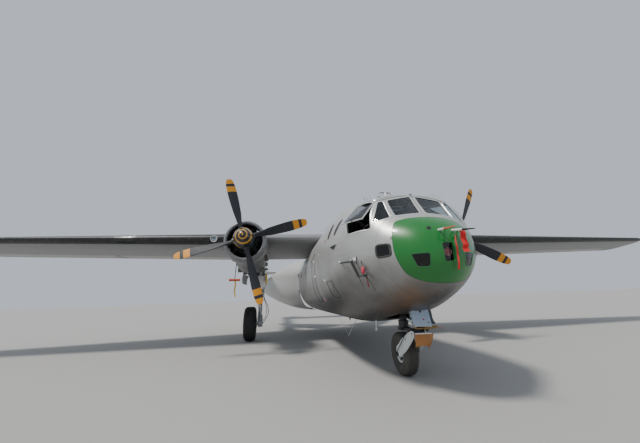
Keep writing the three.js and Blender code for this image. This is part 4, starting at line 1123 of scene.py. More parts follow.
# the fixed part with its cove, the part with a nose
def hingeSplit(body, line, radii, axis, lowerLip=False):
    start, end = line[0], line[-1]
    length = end - start
    share = controls["endClearance"] / abs(length.x if axis == "x" else length.z)
    wideStart, wideEnd = start - length * share, end + length * share

    def aft(a, b, forward, low):
        rings = []
        for p in (a, b):
            if axis == "x":
                corners = ((-forward, -0.9), (2.6, -0.9), (2.6, low), (-forward, low))
                rings.append([p + Vector((0, u, v)) for u, v in corners])
            else:
                corners = ((-0.7, -forward), (-0.7, 2.6), (0.7, 2.6), (0.7, -forward))
                rings.append([p + Vector((u, v, 0)) for u, v in corners])
        return loft(rings)

    def roller(points, extra):
        return loft([roundSection(p, r + extra, axis) for p, r in zip(points, radii)])

    fixed = cut(body, aft(wideStart, wideEnd, 0, 0.9),
                roller([wideStart, *line[1:-1], wideEnd], controls["clearance"]))
    if lowerLip:
        fixed = cut(fixed, aft(wideStart, wideEnd, max(radii) * 0.92, 0))
    moving = combined(common(body, aft(start, end, 0, 0.9)), roller(line, 0), "UNION")
    unit = length.normalized()
    reach = controls["endClearance"] + controls["pinReach"]
    pins = [bar(start - unit * reach, start + unit * 0.03, controls["pin"])]
    pins.append(bar(end - unit * 0.03, end + unit * reach, controls["pin"]))
    return fixed, joined(moving, *pins)


def wingMarks(tree, coords, colour):  # rubber boots along the leading edge and exhaust soot
    split = splitOf(tree, coords)
    out = calc(tree, "MAXIMUM", minus(tree, calc(tree, "ABSOLUTE", split[0]), wing["join"]), 0.0)
    back = minus(tree, split[1], plus(tree, noseY + 6.78, times(tree, out, 0.0368)))
    width = minus(tree, 0.30, times(tree, out, 0.011))
    boot = calc(tree, "LESS_THAN", back, width)
    outer = calc(tree, "GREATER_THAN", calc(tree, "ABSOLUTE", split[0]), 4.75)
    boot = times(tree, boot, outer)
    mottled = noise(tree, coords, 9.0, 5.0, 0.65)
    rubber = mixColours(tree, ramp(tree, mottled, 0.45, 0.75), (0.026, 0.027, 0.029, 1),
                        (0.07, 0.07, 0.07, 1))
    colour = mixColours(tree, boot, colour, rubber)
    aside = calc(tree, "ABSOLUTE", minus(tree, calc(tree, "ABSOLUTE", split[0]), engineX))
    near = ramp(tree, aside, 0.35, 1.15, 1.0, 0.0)
    soot = times(tree, near, ramp(tree, noise(tree, coords, 1.7, 4.0), 0.35, 0.75))
    return mixColours(tree, times(tree, soot, 0.55), colour, (0.05, 0.045, 0.04, 1))


paints["wingShadedPaint"] = finishMaterial("wingBoots", dict(looks["wingShadedPaint"], marks=wingMarks))


def buildWings():
    centre = wingLoft(spread(-wing["join"] + 0.0004, wing["join"] - 0.0004, 10))
    piece("wingCentre", centre, "wingShadedPaint", "grey_skin", sharp=40, replaces="wing_centre")
    stops = spread(wing["join"] + 0.0004, 15.7, 16) + [15.8, 15.9, 15.98, 16.05, 16.11, 16.16, 16.2, 16.23,
                                                       16.25]
    outer = wingLoft(stops)
    flapLine = [hingeSpot(x) for x in wing["flap"]]
    aileronLine = [hingeSpot(x) for x in wing["aileron"]]
    fixed, flap = hingeSplit(outer, flapLine, [hingeRadius(x) for x in wing["flap"]], "x", True)
    fixed, aileron = hingeSplit(fixed, aileronLine, [hingeRadius(x) for x in wing["aileron"]], "x")
    for word, side in bothSides:
        low = word.lower()
        piece("wing" + word, onSide(fixed, side), "wingShadedPaint", "grey_skin", sharp=40,
              replaces="wing_" + low)
        piece("flap" + word, onSide(flap, side), "flapPaint", "grey_skin", "flap_leaf_" + low, sharp=40,
              replaces="flap_" + low)
        piece("aileron" + word, onSide(aileron, side), "flapPaint", "grey_skin", "aileron_leaf_" + low,
              sharp=40, replaces="aileron_" + low)


buildWings()
print("wings built")

# Fin, row by row: height, leading edge station, trailing edge station, half thickness
finRows = (
    (2.96, 19.95, 21.25, 0.03),
    (3.15, 19.35, 21.75, 0.08),
    (3.7, 18.7, 21.93, 0.14),
    (4.6, 18.88, 21.96, 0.125),
    (5.3, 19.23, 21.94, 0.095),
    (5.72, 19.6, 21.86, 0.065),
    (5.93, 19.98, 21.65, 0.04),
    (6.0, 20.45, 21.35, 0.018),
)
finShape = ((0, 0.12), (0.02, 0.45), (0.08, 0.78), (0.25, 1), (0.45, 0.96), (0.7, 0.62), (1, 0.06))
tail = {
    "rudderStation": 20.99,
    "rudderHeights": (3.26, 3.7, 4.6, 5.3, 5.72, 5.78),
    "lead": 18.85,
    "chord": 2.02,
    "height": 3.74,
    "ratio": 0.1,
    "hinge": 0.62,
    "half": 3.66,
    "elevator": 3.48,
}
# Nacelle and boom, row by row: station, half width, half height, centre height, fullness
boomRows = (
    (6.48, 0.64, 0.69, 3.54, 2.1),
    (7.4, 0.62, 0.77, 3.44, 2.3),
    (8.6, 0.57, 0.77, 3.38, 2.4),
    (9.8, 0.47, 0.65, 3.4, 2.4),
    (11.0, 0.38, 0.505, 3.45, 2.3),
    (13.5, 0.33, 0.415, 3.53, 2.2),
    (17.0, 0.28, 0.36, 3.61, 2.2),
    (19.5, 0.24, 0.31, 3.66, 2.2),
    (20.78, 0.17, 0.22, 3.69, 2.1),
)


def boomRing(where, inset=0.0, sides=64):
    _, half, tall, middle, full = easedRow(boomRows, where)
    ring = []
    for c, s in roundTrip(sides):
        out, rise = power(c, 2 / full) * (half - inset), power(s, 2 / full) * (tall - inset)
        ring.append(point(engineX + out, where, middle + rise))
    return ring


def finHalf(share):
    return easedRow(finShape, share, 0.5)[1]


def finLoft():
    stops = spread(2.96, 3.7, 12) + spread(3.78, 5.3,
                                           14) + spread(5.36, 5.93, 10) + [5.955, 5.975, 5.99, 6.0]
    shares = [(1 - cos(pi * i / 26)) / 2 for i in range(27)]
    rings = []
    for z in stops:
        _, lead, trail, half = easedRow(finRows, z)
        right, left = ([Vector((engineX + side * half * finHalf(f), noseY + lead + f * (trail - lead), z))
                        for f in shares] for side in (1, -1))
        rings.append(right + left[::-1])
    return loft(rings)


def rudderRadius(height):
    _, lead, trail, half = straightRow(finRows, height)
    return half * straightRow(finShape, (tail["rudderStation"] - lead) / (trail - lead))[1] + 0.005


def tailLoft(limit):
    row = (0, tail["lead"], tail["height"], tail["height"], tail["chord"], tail["ratio"])
    return loft([setAcross(sectionOf(row, 0.0, 26), x) for x in spread(-limit, limit, 8)])


def buildTail():
    line = [point(engineX, tail["rudderStation"], z) for z in tail["rudderHeights"]]
    fixed, rudder = hingeSplit(finLoft(), line, [rudderRadius(z) for z in tail["rudderHeights"]], "z")
    boomStops = spread(11.0, 13.5, 12) + spread(13.7, 20.5, 30) + [20.6, 20.68, 20.74, 20.78]
    boom = loft([boomRing(s) for s in boomStops])
    for word, side in bothSides:
        low = word.lower()
        piece("boom" + word, onSide(boom, side), "boomPaint", "silver_skin", replaces="boom_" + low)
        piece("fin" + word, onSide(fixed, side), "finPaint", "grey_skin", sharp=40, replaces="fin_" + low)
        piece("rudder" + word, onSide(rudder, side), "finPaint", "grey_skin", "rudder_leaf_" + low,
              sharp=40, replaces="rudder_" + low)
    y = noseY + tail["lead"] + tail["hinge"] * tail["chord"]
    radius = thicknessAt(tail["hinge"], tail["ratio"], tail["chord"]) + 0.003
    ends = [Vector((-tail["elevator"], y, tail["height"])), Vector((tail["elevator"], y, tail["height"]))]
    fixedTail, elevator = hingeSplit(tailLoft(tail["half"] + 0.04), ends, [radius, radius], "x")
    piece("tailplane", fixedTail, "finPaint", "grey_skin", sharp=40, replaces="tailplane")
    piece("elevator", elevator, "finPaint", "grey_skin", "elevator_leaf", sharp=40, replaces="elevator")


buildTail()
print("tail built")


# Nacelles, cowls, engines and propellers, modelled to port and mirrored
engine = {
    "propStation": 4.9,
    "cowlStation": 5.32,
    "rows": (5.6, 5.9),
    "cylinders": 7,
    "gills": 26,
    "barrel": 0.098,
    "fin": 0.128,
    "crank": 0.3,
    "head": 0.605,
}
bay = {"inner": 3.3, "outer": 4.13, "split": 3.73, "front": 7.7, "back": 9.3, "top": 3.25}
blade = {
    "rows": (  # radius, chord, thickness, pitch in degrees
        (0.2, 0.17, 0.13, 62),
        (0.48, 0.195, 0.1, 57),
        (0.9, 0.31, 0.062, 44),
        (1.5, 0.345, 0.038, 32),
        (1.85, 0.31, 0.026, 26),
        (2.05, 0.24, 0.018, 23),
        (2.12, 0.15, 0.013, 22),
        (2.135, 0.06, 0.008, 22),
    ),
    "lean": {"Port": 25.1, "Starboard": -15.7},
}
thrust = point(engineX, engine["propStation"], thrustHeight)


def smoothProfile(points, fine):
    line = curveThrough([Vector((a, b, 0)) for a, b in points], fine)
    return [(p.x, p.y) for p in line]


def aroundThrust(angle, radius, where):
    return point(engineX + radius * cos(angle), where, thrustHeight + radius * sin(angle))


def ringAround(radius, where):  # a closed ring's line about the thrust line
    return [aroundThrust(a, radius, where) for a in [*around(40), 2 * pi]]


def buildNacelle():
    stops = spread(6.48, 11.0 - 0.0004, 48)
    outer = [boomRing(s) for s in stops]
    inner = [boomRing(s, 0.012) for s in reversed(stops)]
    tubeShell = loft(outer + inner, loop=True)
    hole = block(point(bay["inner"], bay["front"], 2.3), point(bay["outer"], bay["back"], bay["top"]))
    shell = cut(tubeShell, hole)
    leaves = []
    for low, high, axis, angle in (
        (bay["inner"] + 0.006, bay["split"] - 0.004, (bay["inner"], 2.88), 66),
        (bay["split"] + 0.004, bay["outer"] - 0.006, (bay["outer"], 2.69), -86),
    ):
        zone = block((low, noseY + bay["front"] + 0.01, 2.3), (high, noseY + bay["back"] - 0.01, 2.95))
        leaf = common(tubeShell, zone)
        pivot = Vector((axis[0], 0, axis[1]))
        leaves.append(moved(leaf, turnAbout(pivot, radians(angle), "Y")))
        for s in (7.95, 8.5, 9.05):
            low, high = (axis[0] - 0.018, axis[1] - 0.04), (axis[0] + 0.018, axis[1] + 0.03)
            leaves.append(block((low[0], noseY + s - 0.03, low[1]), (high[0], noseY + s + 0.03, high[1])))
    ribs = []
    for s in spread(7.0, 10.8, 9):
        corners = ((-0.015, 0.014), (0.015, 0.014), (0.015, 0.07), (-0.015, 0.07))
        ribs.append(loft([boomRing(s + shift, inset) for shift, inset in corners], loop=True))
    bayRibs = cut(joined(*ribs), block(point(bay["inner"] - 0.01, 7.6, 2.2),
                                       point(bay["outer"] + 0.01, 9.4, 3.26)))
    wall = block(point(engineX - 0.52, 7.66, 2.72), point(engineX + 0.52, 7.69, 3.75))
    hoses = []
    for x, z in ((3.45, 3.1), (3.62, 3.02), (3.95, 3.12), (4.08, 3.0)):
        hoses.append(tube([point(x, 7.7, z), point(x + 0.05, 8.1, z + 0.12), point(x, 9.0, z + 0.05)],
                          0.016, 8, 6))
    return shell, joined(*leaves), joined(bayRibs, wall), joined(*hoses)


def buildCowl():
    lip = [(0.592, 0.03), (0.574, -0.03), (0.585, -0.075), (0.62, -0.1), (0.66, -0.088), (0.693, -0.045)]
    outside = [(0.708, 0.02), (0.717, 0.12), (0.721, 0.3), (0.72, 0.5), (0.714, 0.75), (0.704, 0.98),
               (0.7, 1.08)]
    profile = smoothProfile(lip + outside, 5) + [(0.69, 1.08), (0.695, 0.8), (0.7, 0.5), (0.69, 0.14),
                                                 (0.62, 0.06)]
    at = point(engineX, engine["cowlStation"], thrustHeight)
    ring = lathe(profile, at, "y", 120, closed=True)
    bands = []
    for where, low in ((0.3, 0.7205), (0.74, 0.7135)):
        bands.append(lathe([(low - 0.004, where - 0.018), (low + 0.004, where - 0.018),
                            (low + 0.004, where + 0.018), (low - 0.004, where + 0.018)], at, "y", 96,
                           closed=True))
    for k in range(6):
        angle = radians(30 + 60 * k)
        spot = aroundThrust(angle, 0.722, engine["cowlStation"] + 0.52)
        bands.append(moved(block((-0.004, -0.045, -0.018), (0.008, 0.045, 0.018)),
                           turnedAt(spot, -angle, "Y")))
    gills = []
    for angle in around(engine["gills"]):
        if 0.33 * pi < angle < 0.67 * pi:  # the nacelle stands higher here
            continue
        half = pi / engine["gills"] * 0.94
        corners = []
        for lift, where in ((0.0, 1.07), (0.026, 1.235)):
            for a in (angle - half, angle + half):
                for thick in (0.702, 0.696):
                    corners.append(aroundThrust(a, thick + lift, engine["cowlStation"] + where))
        faces = [(0, 2, 6, 4), (1, 5, 7, 3), (0, 4, 5, 1), (2, 3, 7, 6), (0, 1, 3, 2), (4, 6, 7, 5)]
        gills.append((corners, faces))
    return ring, joined(*bands), joined(*gills)


def buildEngine():
    at = (engineX, noseY, thrustHeight)
    nose = smoothProfile([(0.075, 4.97), (0.085, 5.08), (0.16, 5.12), (0.215, 5.16), (0.235, 5.26),
                          (0.29, 5.34), (0.325, 5.42), (0.33, 5.5)], 4)
    parts = [lathe([(0.02, 4.962)] + nose + [(0.33, 6.3), (0.02, 6.3)], at, "y", 48)]
    parts.append(bar(aroundThrust(0, 0, 5.06), aroundThrust(0, 0, 4.96), 0.07, sides=32))
    for angle in around(14, 0.5):
        parts.append(bar(aroundThrust(angle, 0.252, 5.27), aroundThrust(angle, 0.252, 5.33), 0.014,
                         sides=8))
        parts.append(bar(aroundThrust(angle, 0.205, 5.11), aroundThrust(angle, 0.205, 5.145), 0.011,
                         sides=6))
    fins, leads, pipes = [], [], []
    ringOfLeads = ringAround(0.37, 5.42)
    leads.append(tube(ringOfLeads, 0.018, 10))
    for row, where in enumerate(engine["rows"]):
        for angle in around(engine["cylinders"], 0.5 * row + 0.25):
            profile = [(0.03, engine["crank"])]
            count = 17
            for i in range(count):
                r = engine["crank"] + 0.03 + (engine["head"] - engine["crank"] - 0.05) * i / (count - 1)
                reach = engine["fin"] if i < count - 1 else engine["fin"] - 0.02
                profile += [(engine["barrel"], r - 0.004), (reach, r - 0.003), (reach, r + 0.003),
                            (engine["barrel"], r + 0.004)]
            profile += [(0.06, engine["head"]), (0.02, engine["head"])]
            base = turnedAt(point(engineX, where, thrustHeight), pi / 2 - angle, "Y")
            fins.append(moved(lathe(profile, (0, 0, 0), "z", 22), base))
            for swing in (-0.1, 0.1):
                start = aroundThrust(angle + swing * 0.3, 0.37, 5.42)
                end = aroundThrust(angle + swing, 0.55, where - 0.1)
                middle = aroundThrust(angle + swing, 0.47, 5.43)
                leads.append(tube([start, middle, end], 0.009, 6, 5))
            side = angle + 0.21
            pipes.append(tube([aroundThrust(side, 0.4, where - 0.05), aroundThrust(side, 0.48, where),
                               aroundThrust(side + 0.02, 0.5, where + 0.2), aroundThrust(side, 0.52, 6.2)],
                              0.03, 10, 5))
    for angle in [a + 0.11 for a in around(14, 0.5)]:
        parts.append(bar(aroundThrust(angle, 0.33, 5.5), aroundThrust(angle, 0.6, 5.5), 0.006, sides=6))
    sump = [aroundThrust(-pi / 2, 0.3, 5.45), aroundThrust(-pi / 2, 0.4, 5.47),
            aroundThrust(-pi / 2, 0.42, 5.6)]
    parts.append(tube(sump, 0.06, 12, 4))
    wall = [lathe([(0.02, 6.34), (0.636, 6.34), (0.636, 6.478), (0.02, 6.478)], at, "y", 64)]
    for k in range(3):
        angle = radians(30 + 120 * k)
        wall.append(bar(aroundThrust(angle, 0.3, 5.7), aroundThrust(angle, 0.694, 5.7), 0.02))
    collector = ringAround(0.55, 6.24)
    pipes.append(tube(collector, 0.055, 14))
    return joined(*parts), joined(*fins), joined(*leads), joined(*pipes), joined(*wall)


def exhaustStubs():  # two tail pipes leave the slot behind the cowl
    pipes = []
    for angle in (radians(-28), radians(208)):
        line = [aroundThrust(angle, 0.56, 6.28), aroundThrust(angle, 0.66, 6.42),
                aroundThrust(angle, 0.715, 6.62), aroundThrust(angle, 0.735, 7.1),
                aroundThrust(angle, 0.745, 7.5)]
        outside = tube(line, 0.062, 20, 8)
        inside = tube([line[-2].lerp(line[-1], 0.4), line[-1], line[-1] + Vector((0, 0.05, 0))], 0.054, 20)
        pipes.append(cut(outside, inside))
        for share in (0.25, 0.8):
            spot = line[2].lerp(line[4], share)
            pipes.append(pinAt(spot, (0, 0.012, 0), 0.069, 24))
    return joined(*pipes)


def bladeShape():
    rings = []
    stops = spread(0.2, 1.85, 22) + spread(1.88, 2.05, 6) + [2.08, 2.1, 2.115, 2.127, 2.135]
    for radius in stops:
        _, chord, thick, pitch = easedRow(blade["rows"], radius)
        c, s = cos(radians(pitch)), sin(radians(pitch))
        blunt = max(0.0, 1 - (radius - 0.2) / 0.4)
        ring = []
        for cosine, sine in roundTrip(28):
            u, v = -0.5 * cosine, 0.5 * sine
            fill = 0.5 * sine * (1 - 0.62 * (u + 0.5) ** 1.6) * (1.45 if v > 0 else 0.8)
            through = (v * blunt + fill * (1 - blunt)) * thick
            across = u * chord
            ring.append(Vector((across * c - through * s, across * s + through * c, radius)))
        rings.append(ring)
    return loft(rings)


def buildProp(word, side):
    centre = Vector((side * thrust.x, thrust.y, thrust.z))
    one = bladeShape()
    collar = lathe([(0.05, 0.2), (0.085, 0.2), (0.095, 0.22), (0.095, 0.3), (0.088, 0.31), (0.088, 0.36),
                    (0.05, 0.37)], (0, 0, 0), "z", 28)
    blades, collars = [], []
    for quarter in range(4):
        turn = turnedAt(centre, radians(blade["lean"][word] + 90 * quarter), "Y")
        blades.append(moved(one, turn))
        collars.append(moved(collar, turn))
    at = tuple(centre)
    drum = lathe([(0.075, 0.1896), (0.22, 0.1896), (0.25, 0.15), (0.252, -0.08), (0.2, -0.1296),
                  (0.01, -0.1296), (0.01, 0.05), (0.075, 0.055)], at, "y", 48)
    body = "airscrew_" + word.lower()
    piece("blades" + word, blades, "bladePaint", "blade", body, sharp=50,
          replaces="propeller_" + word.lower())
    piece("propHub" + word, [drum, *collars], "hubMetal", "hub", body, bevel=0.002)
    profile = smoothProfile([(0.004, -0.56), (0.05, -0.553), (0.105, -0.525), (0.17, -0.465), (0.23, -0.38),
                             (0.283, -0.27), (0.317, -0.17), (0.33, -0.1)], 6)
    shape = [(0.0, -0.561)] + profile + [(0.334, -0.06), (0.334, -0.045), (0.322, -0.045), (0.318, -0.09),
                                         (0.0, -0.09)]
    cone = lathe([(max(r, 0.0002), y) for r, y in shape], at, "y", 96)
    piece("spinner" + word, cone, "spinnerPaint", "spinner", body, sharp=50,
          replaces="spinner_" + word.lower())


def buildEngines():
    shell, leaves, ribs, hoses = buildNacelle()
    ring, bands, gills = buildCowl()
    case, fins, leads, pipes, wall = buildEngine()
    stubs = exhaustStubs()
    for word, side in bothSides:
        low = word.lower()

        def fixed(name, shape, paint, slot, **more):
            piece(name + word, onSide(shape, side), paint, slot, **more)

        fixed("nacelle", shell, "nacelleShadedGrey", "grey_skin", sharp=40, replaces="nacelle_" + low)
        fixed("gearDoors", leaves, "gearDoorPaint", "grey_skin", sharp=40)
        fixed("nacelleRibs", ribs, "innerGreen", "panel", sharp=40)
        fixed("nacelleHoses", hoses, "hoseRubber", "panel")
        fixed("cowl", ring, "nacelleShadedGrey", "grey_skin", sharp=50, replaces="cowl_" + low)
        fixed("cowlBands", bands, "nacelleShadedGrey", "grey_skin")
        fixed("cowlGills", gills, "nacelleShadedGrey", "grey_skin", bevel=0.001)
        fixed("crankcase", case, "crankPaint", "engine", replaces="engine_" + low)
        fixed("cylinders", fins, "castMetal", "engine", sharp=40)
        fixed("ignitionLeads", leads, "hoseRubber", "engine")
        fixed("engineWall", wall, "castMetal", "engine")
        fixed("exhaustPipes", pipes, "exhaustSteel", "engine")
        fixed("exhaustStubs", stubs, "exhaustSteel", "engine")
        buildProp(word, side)


addPaints({
    "gearDoorPaint": {
        "paint": (0.40, 0.41, 0.41), "rough": 0.45, "metal": 0.2, "dirt": 0.4, "patches": 0.1,
    },
})
buildEngines()
print("engines built")


# Landing gear, the main gear modelled to port and mirrored
gear = {
    "mainX": 3.83,
    "legX": 3.42,
    "mainY": noseY + 8.45,
    "mainRadius": 0.672,
    "mainWidth": 0.46,
    "mainRim": 0.25,
    "noseY": noseY + 2.11,
    "noseRadius": 0.425,
    "noseWidth": 0.3,
    "noseRim": 0.165,
    "pivotY": noseY + 2.0,
}


def tyreShape(radius, width, rim, centre, grooves):
    w = width / 2
    side = [(rim, 0.6), (rim + 0.02, 0.7), (radius * 0.55, 0.9), (radius * 0.7, 0.985),
            (radius * 0.79, 1.0), (radius * 0.87, 0.96), (radius * 0.94, 0.83), (radius * 0.978, 0.66),
            (radius * 0.994, 0.46)]
    left = smoothProfile([(r, -u * w) for r, u in side], 4)
    right = [(r, -u) for r, u in reversed(left)]
    crown = []
    for spot in grooves:
        for step, depth in ((-0.006, 0.0), (-0.004, 0.007), (0.004, 0.007), (0.006, 0.0)):
            crown.append((radius - depth - 0.001 * abs(spot) / w, spot + step))
    return lathe(left + crown + right, centre, "x", 120, closed=True)


def hubShape(rim, width, bore, centre, outer):  # a dished wheel with a raised flange
    w = width / 2
    flange = rim + 0.014
    half = [(bore, -w * 0.5), (rim * 0.42, -w * 0.5), (rim * 0.5, -w * 0.42), (rim * 0.78, -w * 0.3),
            (rim * 0.88, -w * 0.34), (rim - 0.02, -w * 0.6), (flange, -w * 0.68), (flange, -w * 0.61),
            (rim - 0.002, -w * 0.58)]
    profile = half + [(r, -u) for r, u in reversed(half)]
    shape = lathe(profile, centre, "x", 72, closed=True)
    bolts = []
    for angle in around(10):
        for side in (-1, 1):
            spot = Vector(centre) + Vector((side * w * 0.36, rim * 0.64 * cos(angle),
                                            rim * 0.64 * sin(angle)))
            bolts.append(pinAt(spot, (0.02, 0, 0), rim * 0.055, 6))
    for angle in around(8, 0.5):
        spot = Vector(centre) + Vector((outer * w * 0.32, rim * 0.83 * cos(angle), rim * 0.83 * sin(angle)))
        bolts.append(pinAt(spot, (0.012, 0, 0), rim * 0.075))
    return shape, joined(*bolts)


def linkPlate(a, b, wide, narrow, thick):  # a tapered scissor link: two cheeks and three cross bars
    a, b = Vector(a), Vector(b)
    along = (b - a).normalized()
    across = Vector((1, 0, 0))
    up = along.cross(across).normalized()
    arms = []
    for side in (-1, 1):
        rings = []
        for p, reach in ((a, wide), (b, narrow)):
            mid = p + across * side * reach
            rings.append([mid + across * u + up * v for u,
                          v in ((-0.014, -thick), (0.014, -thick), (0.014, thick), (-0.014, thick))])
        arms.append(loft(rings))
    for spot, half, size in ((a, wide + 0.03, 1.5), (b, narrow + 0.03, 1.5),
                             (a.lerp(b, 0.5), (wide + narrow) / 2, 0.8)):
        arms.append(pinAt(spot, across * half, thick * size))
    return joined(*arms)


def mainGear():
    x, y, wheelX, axle = gear["legX"], gear["mainY"], gear["mainX"], gear["mainRadius"]
    steel, chrome, dark, white, hoses = [], [], [], [], []
    profile = [(0.02, 1.55), (0.082, 1.55), (0.112, 1.56), (0.112, 1.66), (0.1, 1.68), (0.098, 2.1),
               (0.108, 2.12), (0.108, 2.2), (0.098, 2.22), (0.098, 2.7), (0.12, 2.74), (0.12, 3.2),
               (0.02, 3.2)]
    steel.append(lathe(profile, (x, y, 0), "z", 40))
    white.append(lathe([(0.0985, 1.7), (0.104, 1.705), (0.104, 1.93), (0.0985, 1.935)], (x, y, 0), "z", 40,
                       closed=True))
    chrome.append(bar((x, y, 0.8), (x, y, 1.6), 0.068, sides=40))
    steel.append(lathe([(0.06, 1.0), (0.088, 1.0), (0.094, 0.98), (0.094, 0.86), (0.1, 0.8), (0.1, 0.56),
                        (0.085, 0.53), (0.02, 0.53)], (x, y, 0), "z", 40))
    steel.append(bar((x, y - 0.11, axle), (x, y + 0.11, axle), 0.085, sides=32))
    steel.append(bar((x, y, axle), (wheelX - 0.12, y, axle), 0.08, sides=32))
    steel.append(bar((x, y, axle), (wheelX + 0.17, y, axle), 0.054, sides=32))
    dark.append(lathe([(0.08, -0.25), (0.19, -0.245), (0.205, -0.23), (0.205, -0.15), (0.19, -0.14),
                       (0.08, -0.14)], (wheelX, y, axle), "x", 48, closed=True))
    for angle in around(6):
        across, rise = y + 0.14 * cos(angle), axle + 0.14 * sin(angle)
        steel.append(bar((wheelX - 0.28, across, rise), (wheelX - 0.23, across, rise), 0.024))
    steel.append(linkPlate((x, y - 0.12, 1.6), (x, y - 0.34, 1.24), 0.075, 0.03, 0.022))
    steel.append(linkPlate((x, y - 0.34, 1.24), (x, y - 0.1, 0.84), 0.03, 0.075, 0.022))
    steel.append(block((x - 0.06, y - 0.14, 1.57), (x + 0.06, y, 1.64)))
    steel.append(block((x - 0.06, y - 0.12, 0.8), (x + 0.06, y, 0.88)))
    steel.append(bar((x - 0.27, y, 3.13), (x + 0.85, y, 3.13), 0.08, sides=32))
    # Folding drag brace and its jack
    knee = Vector((x, y + 0.33, 2.46))
    for side in (-1, 1):
        steel.append(bar((x + side * 0.07, y + 0.02, 1.92), knee + Vector((side * 0.07, 0, 0)), 0.026,
                         sides=20))
        steel.append(bar(knee + Vector((side * 0.07, 0, 0)), (x + side * 0.12, y + 0.64, 2.98), 0.03,
                         sides=20))
    steel.append(pinAt(knee, (0.11, 0, 0), 0.038, 24))
    steel.append(bar((x - 0.1, y + 0.02, 1.92), (x + 0.1, y + 0.02, 1.92), 0.04, sides=24))
    steel.append(bar((x - 0.27, y + 0.64, 2.98), (x + 0.8, y + 0.64, 2.98), 0.04, sides=24))
    dark.append(bar((x + 0.2, y - 0.1, 3.1), (x + 0.16, y + 0.26, 2.52), 0.05, sides=24))
    chrome.append(bar((x + 0.16, y + 0.26, 2.52), (x + 0.12, y + 0.34, 2.42), 0.024, sides=20))
    steel.append(bar((x - 0.02, y + 0.34, 2.42), (x + 0.16, y + 0.34, 2.42), 0.028, sides=20))
    # Brake and lock hoses with their clips
    routes = (
        (0.013, ((x - 0.1, y - 0.02, 2.65), (x - 0.125, y - 0.04, 2.1), (x - 0.15, y - 0.05, 1.7),
            (x - 0.3, y - 0.1, 1.35),
                 (x - 0.33, y - 0.12, 1.05), (x - 0.2, y - 0.08, 0.8), (x - 0.1, y - 0.02, 0.66))),
        (0.011, ((x - 0.09, y + 0.06, 2.65), (x - 0.115, y + 0.06, 2.1), (x - 0.13, y + 0.07, 1.7),
            (x - 0.24, y + 0.13, 1.3),
                 (x - 0.22, y + 0.12, 0.95), (x - 0.05, y + 0.12, 0.72), (x + 0.14, y + 0.13, 0.7))),
        (0.009, ((x + 0.1, y - 0.05, 2.6), (x + 0.115, y - 0.06, 1.9), (x + 0.13, y - 0.13, 1.62),
            (x + 0.06, y - 0.36, 1.3),
                 (x + 0.09, y - 0.16, 0.95), (x + 0.16, y - 0.1, 0.74))),
    )
    for radius, route in routes:
        hoses.append(tube(route, radius, 10, 10))
    for z in (1.75, 2.05, 2.4):
        steel.append(lathe([(0.098, -0.012), (0.112, -0.012), (0.112, 0.012), (0.098, 0.012)], (x, y, z),
                           "z", 40, closed=True))
        steel.append(block((x - 0.14, y - 0.07, z - 0.012), (x - 0.1, y + 0.09, z + 0.012)))
    hoses.append(tube([(x - 0.13, y - 0.08, 2.62), (x - 0.2, y - 0.14, 2.3), (x - 0.14, y - 0.1, 2.02)],
                      0.008, 8, 8))
    # Leg cover in front and its bracket
    cover = []
    for z, half in ((2.05, 0.1), (2.2, 0.15), (2.62, 0.17)):
        cover.append([(x - half, y - 0.135, z), (x + half, y - 0.135, z), (x + half, y - 0.127, z),
                      (x - half, y - 0.127, z)])
    white.append(loft(cover))
    steel.append(block((x - 0.04, y - 0.13, 2.2), (x + 0.04, y - 0.09, 2.5)))
    return steel, chrome, dark, white, hoses


armOutline = (
    (-9.6, 0.948), (-9.652, 0.936), (-9.662, 0.875), (-9.62, 0.8), (-9.49, 0.68), (-9.314, 0.54),
        (-9.139, 0.434),
    (-9.03, 0.394), (-8.975, 0.425), (-8.96, 0.52), (-9.036, 0.616), (-9.19, 0.748), (-9.345, 0.835),
        (-9.507, 0.912),
)


def noseArm(side):  # one fork arm: a leaf-shaped plate from the front of the fork back to the axle
    plate = prism(smoothRing([Vector(p) for p in armOutline]), "x", -0.007, 0.007)
    for y, z, size in ((-9.6, 0.896, 0.017), (-9.348, 0.768, 0.022), (-9.2, 0.6, 0.014)):
        plate = cut(plate, bar((-0.05, y, z), (0.05, y, z), size, sides=24))
    return [Vector((side * (p.x + 0.205 + 0.095 * (p.y + 8.87)), p.y, p.z)) for p in plate[0]], plate[1]


def mudguard():  # a visor ahead of the tyre whose port side wraps back and down
    levels = []
    for skin in (0.0, 0.007):
        rows = []
        for k in range(13):
            t = k / 12
            row = []
            for i in range(29):
                u = -1 + 2 * i / 28
                reach = 0.318 - 0.085 * t * t if u > 0 else 0.112
                bend = radians(82 if u > 0 else 40) * abs(u)
                full = sin(radians(82 if u > 0 else 40))
                fall = 1 - cos(bend)
                x = copysign((reach - skin) * sin(bend) / full, u)
                y = -9.672 - 0.05 * sin(pi * 0.62 * t) + fall * (0.1 + 0.2 * t) + skin
                z = 0.897 - 0.2 * t ** 1.1 - fall * (0.02 + 0.13 * t) - skin * 0.5
                row.append(Vector((x, y, z)))
            rows.append(row)
        levels.append(rows)
    return loft([outer + inner[::-1] for outer, inner in zip(*levels)])


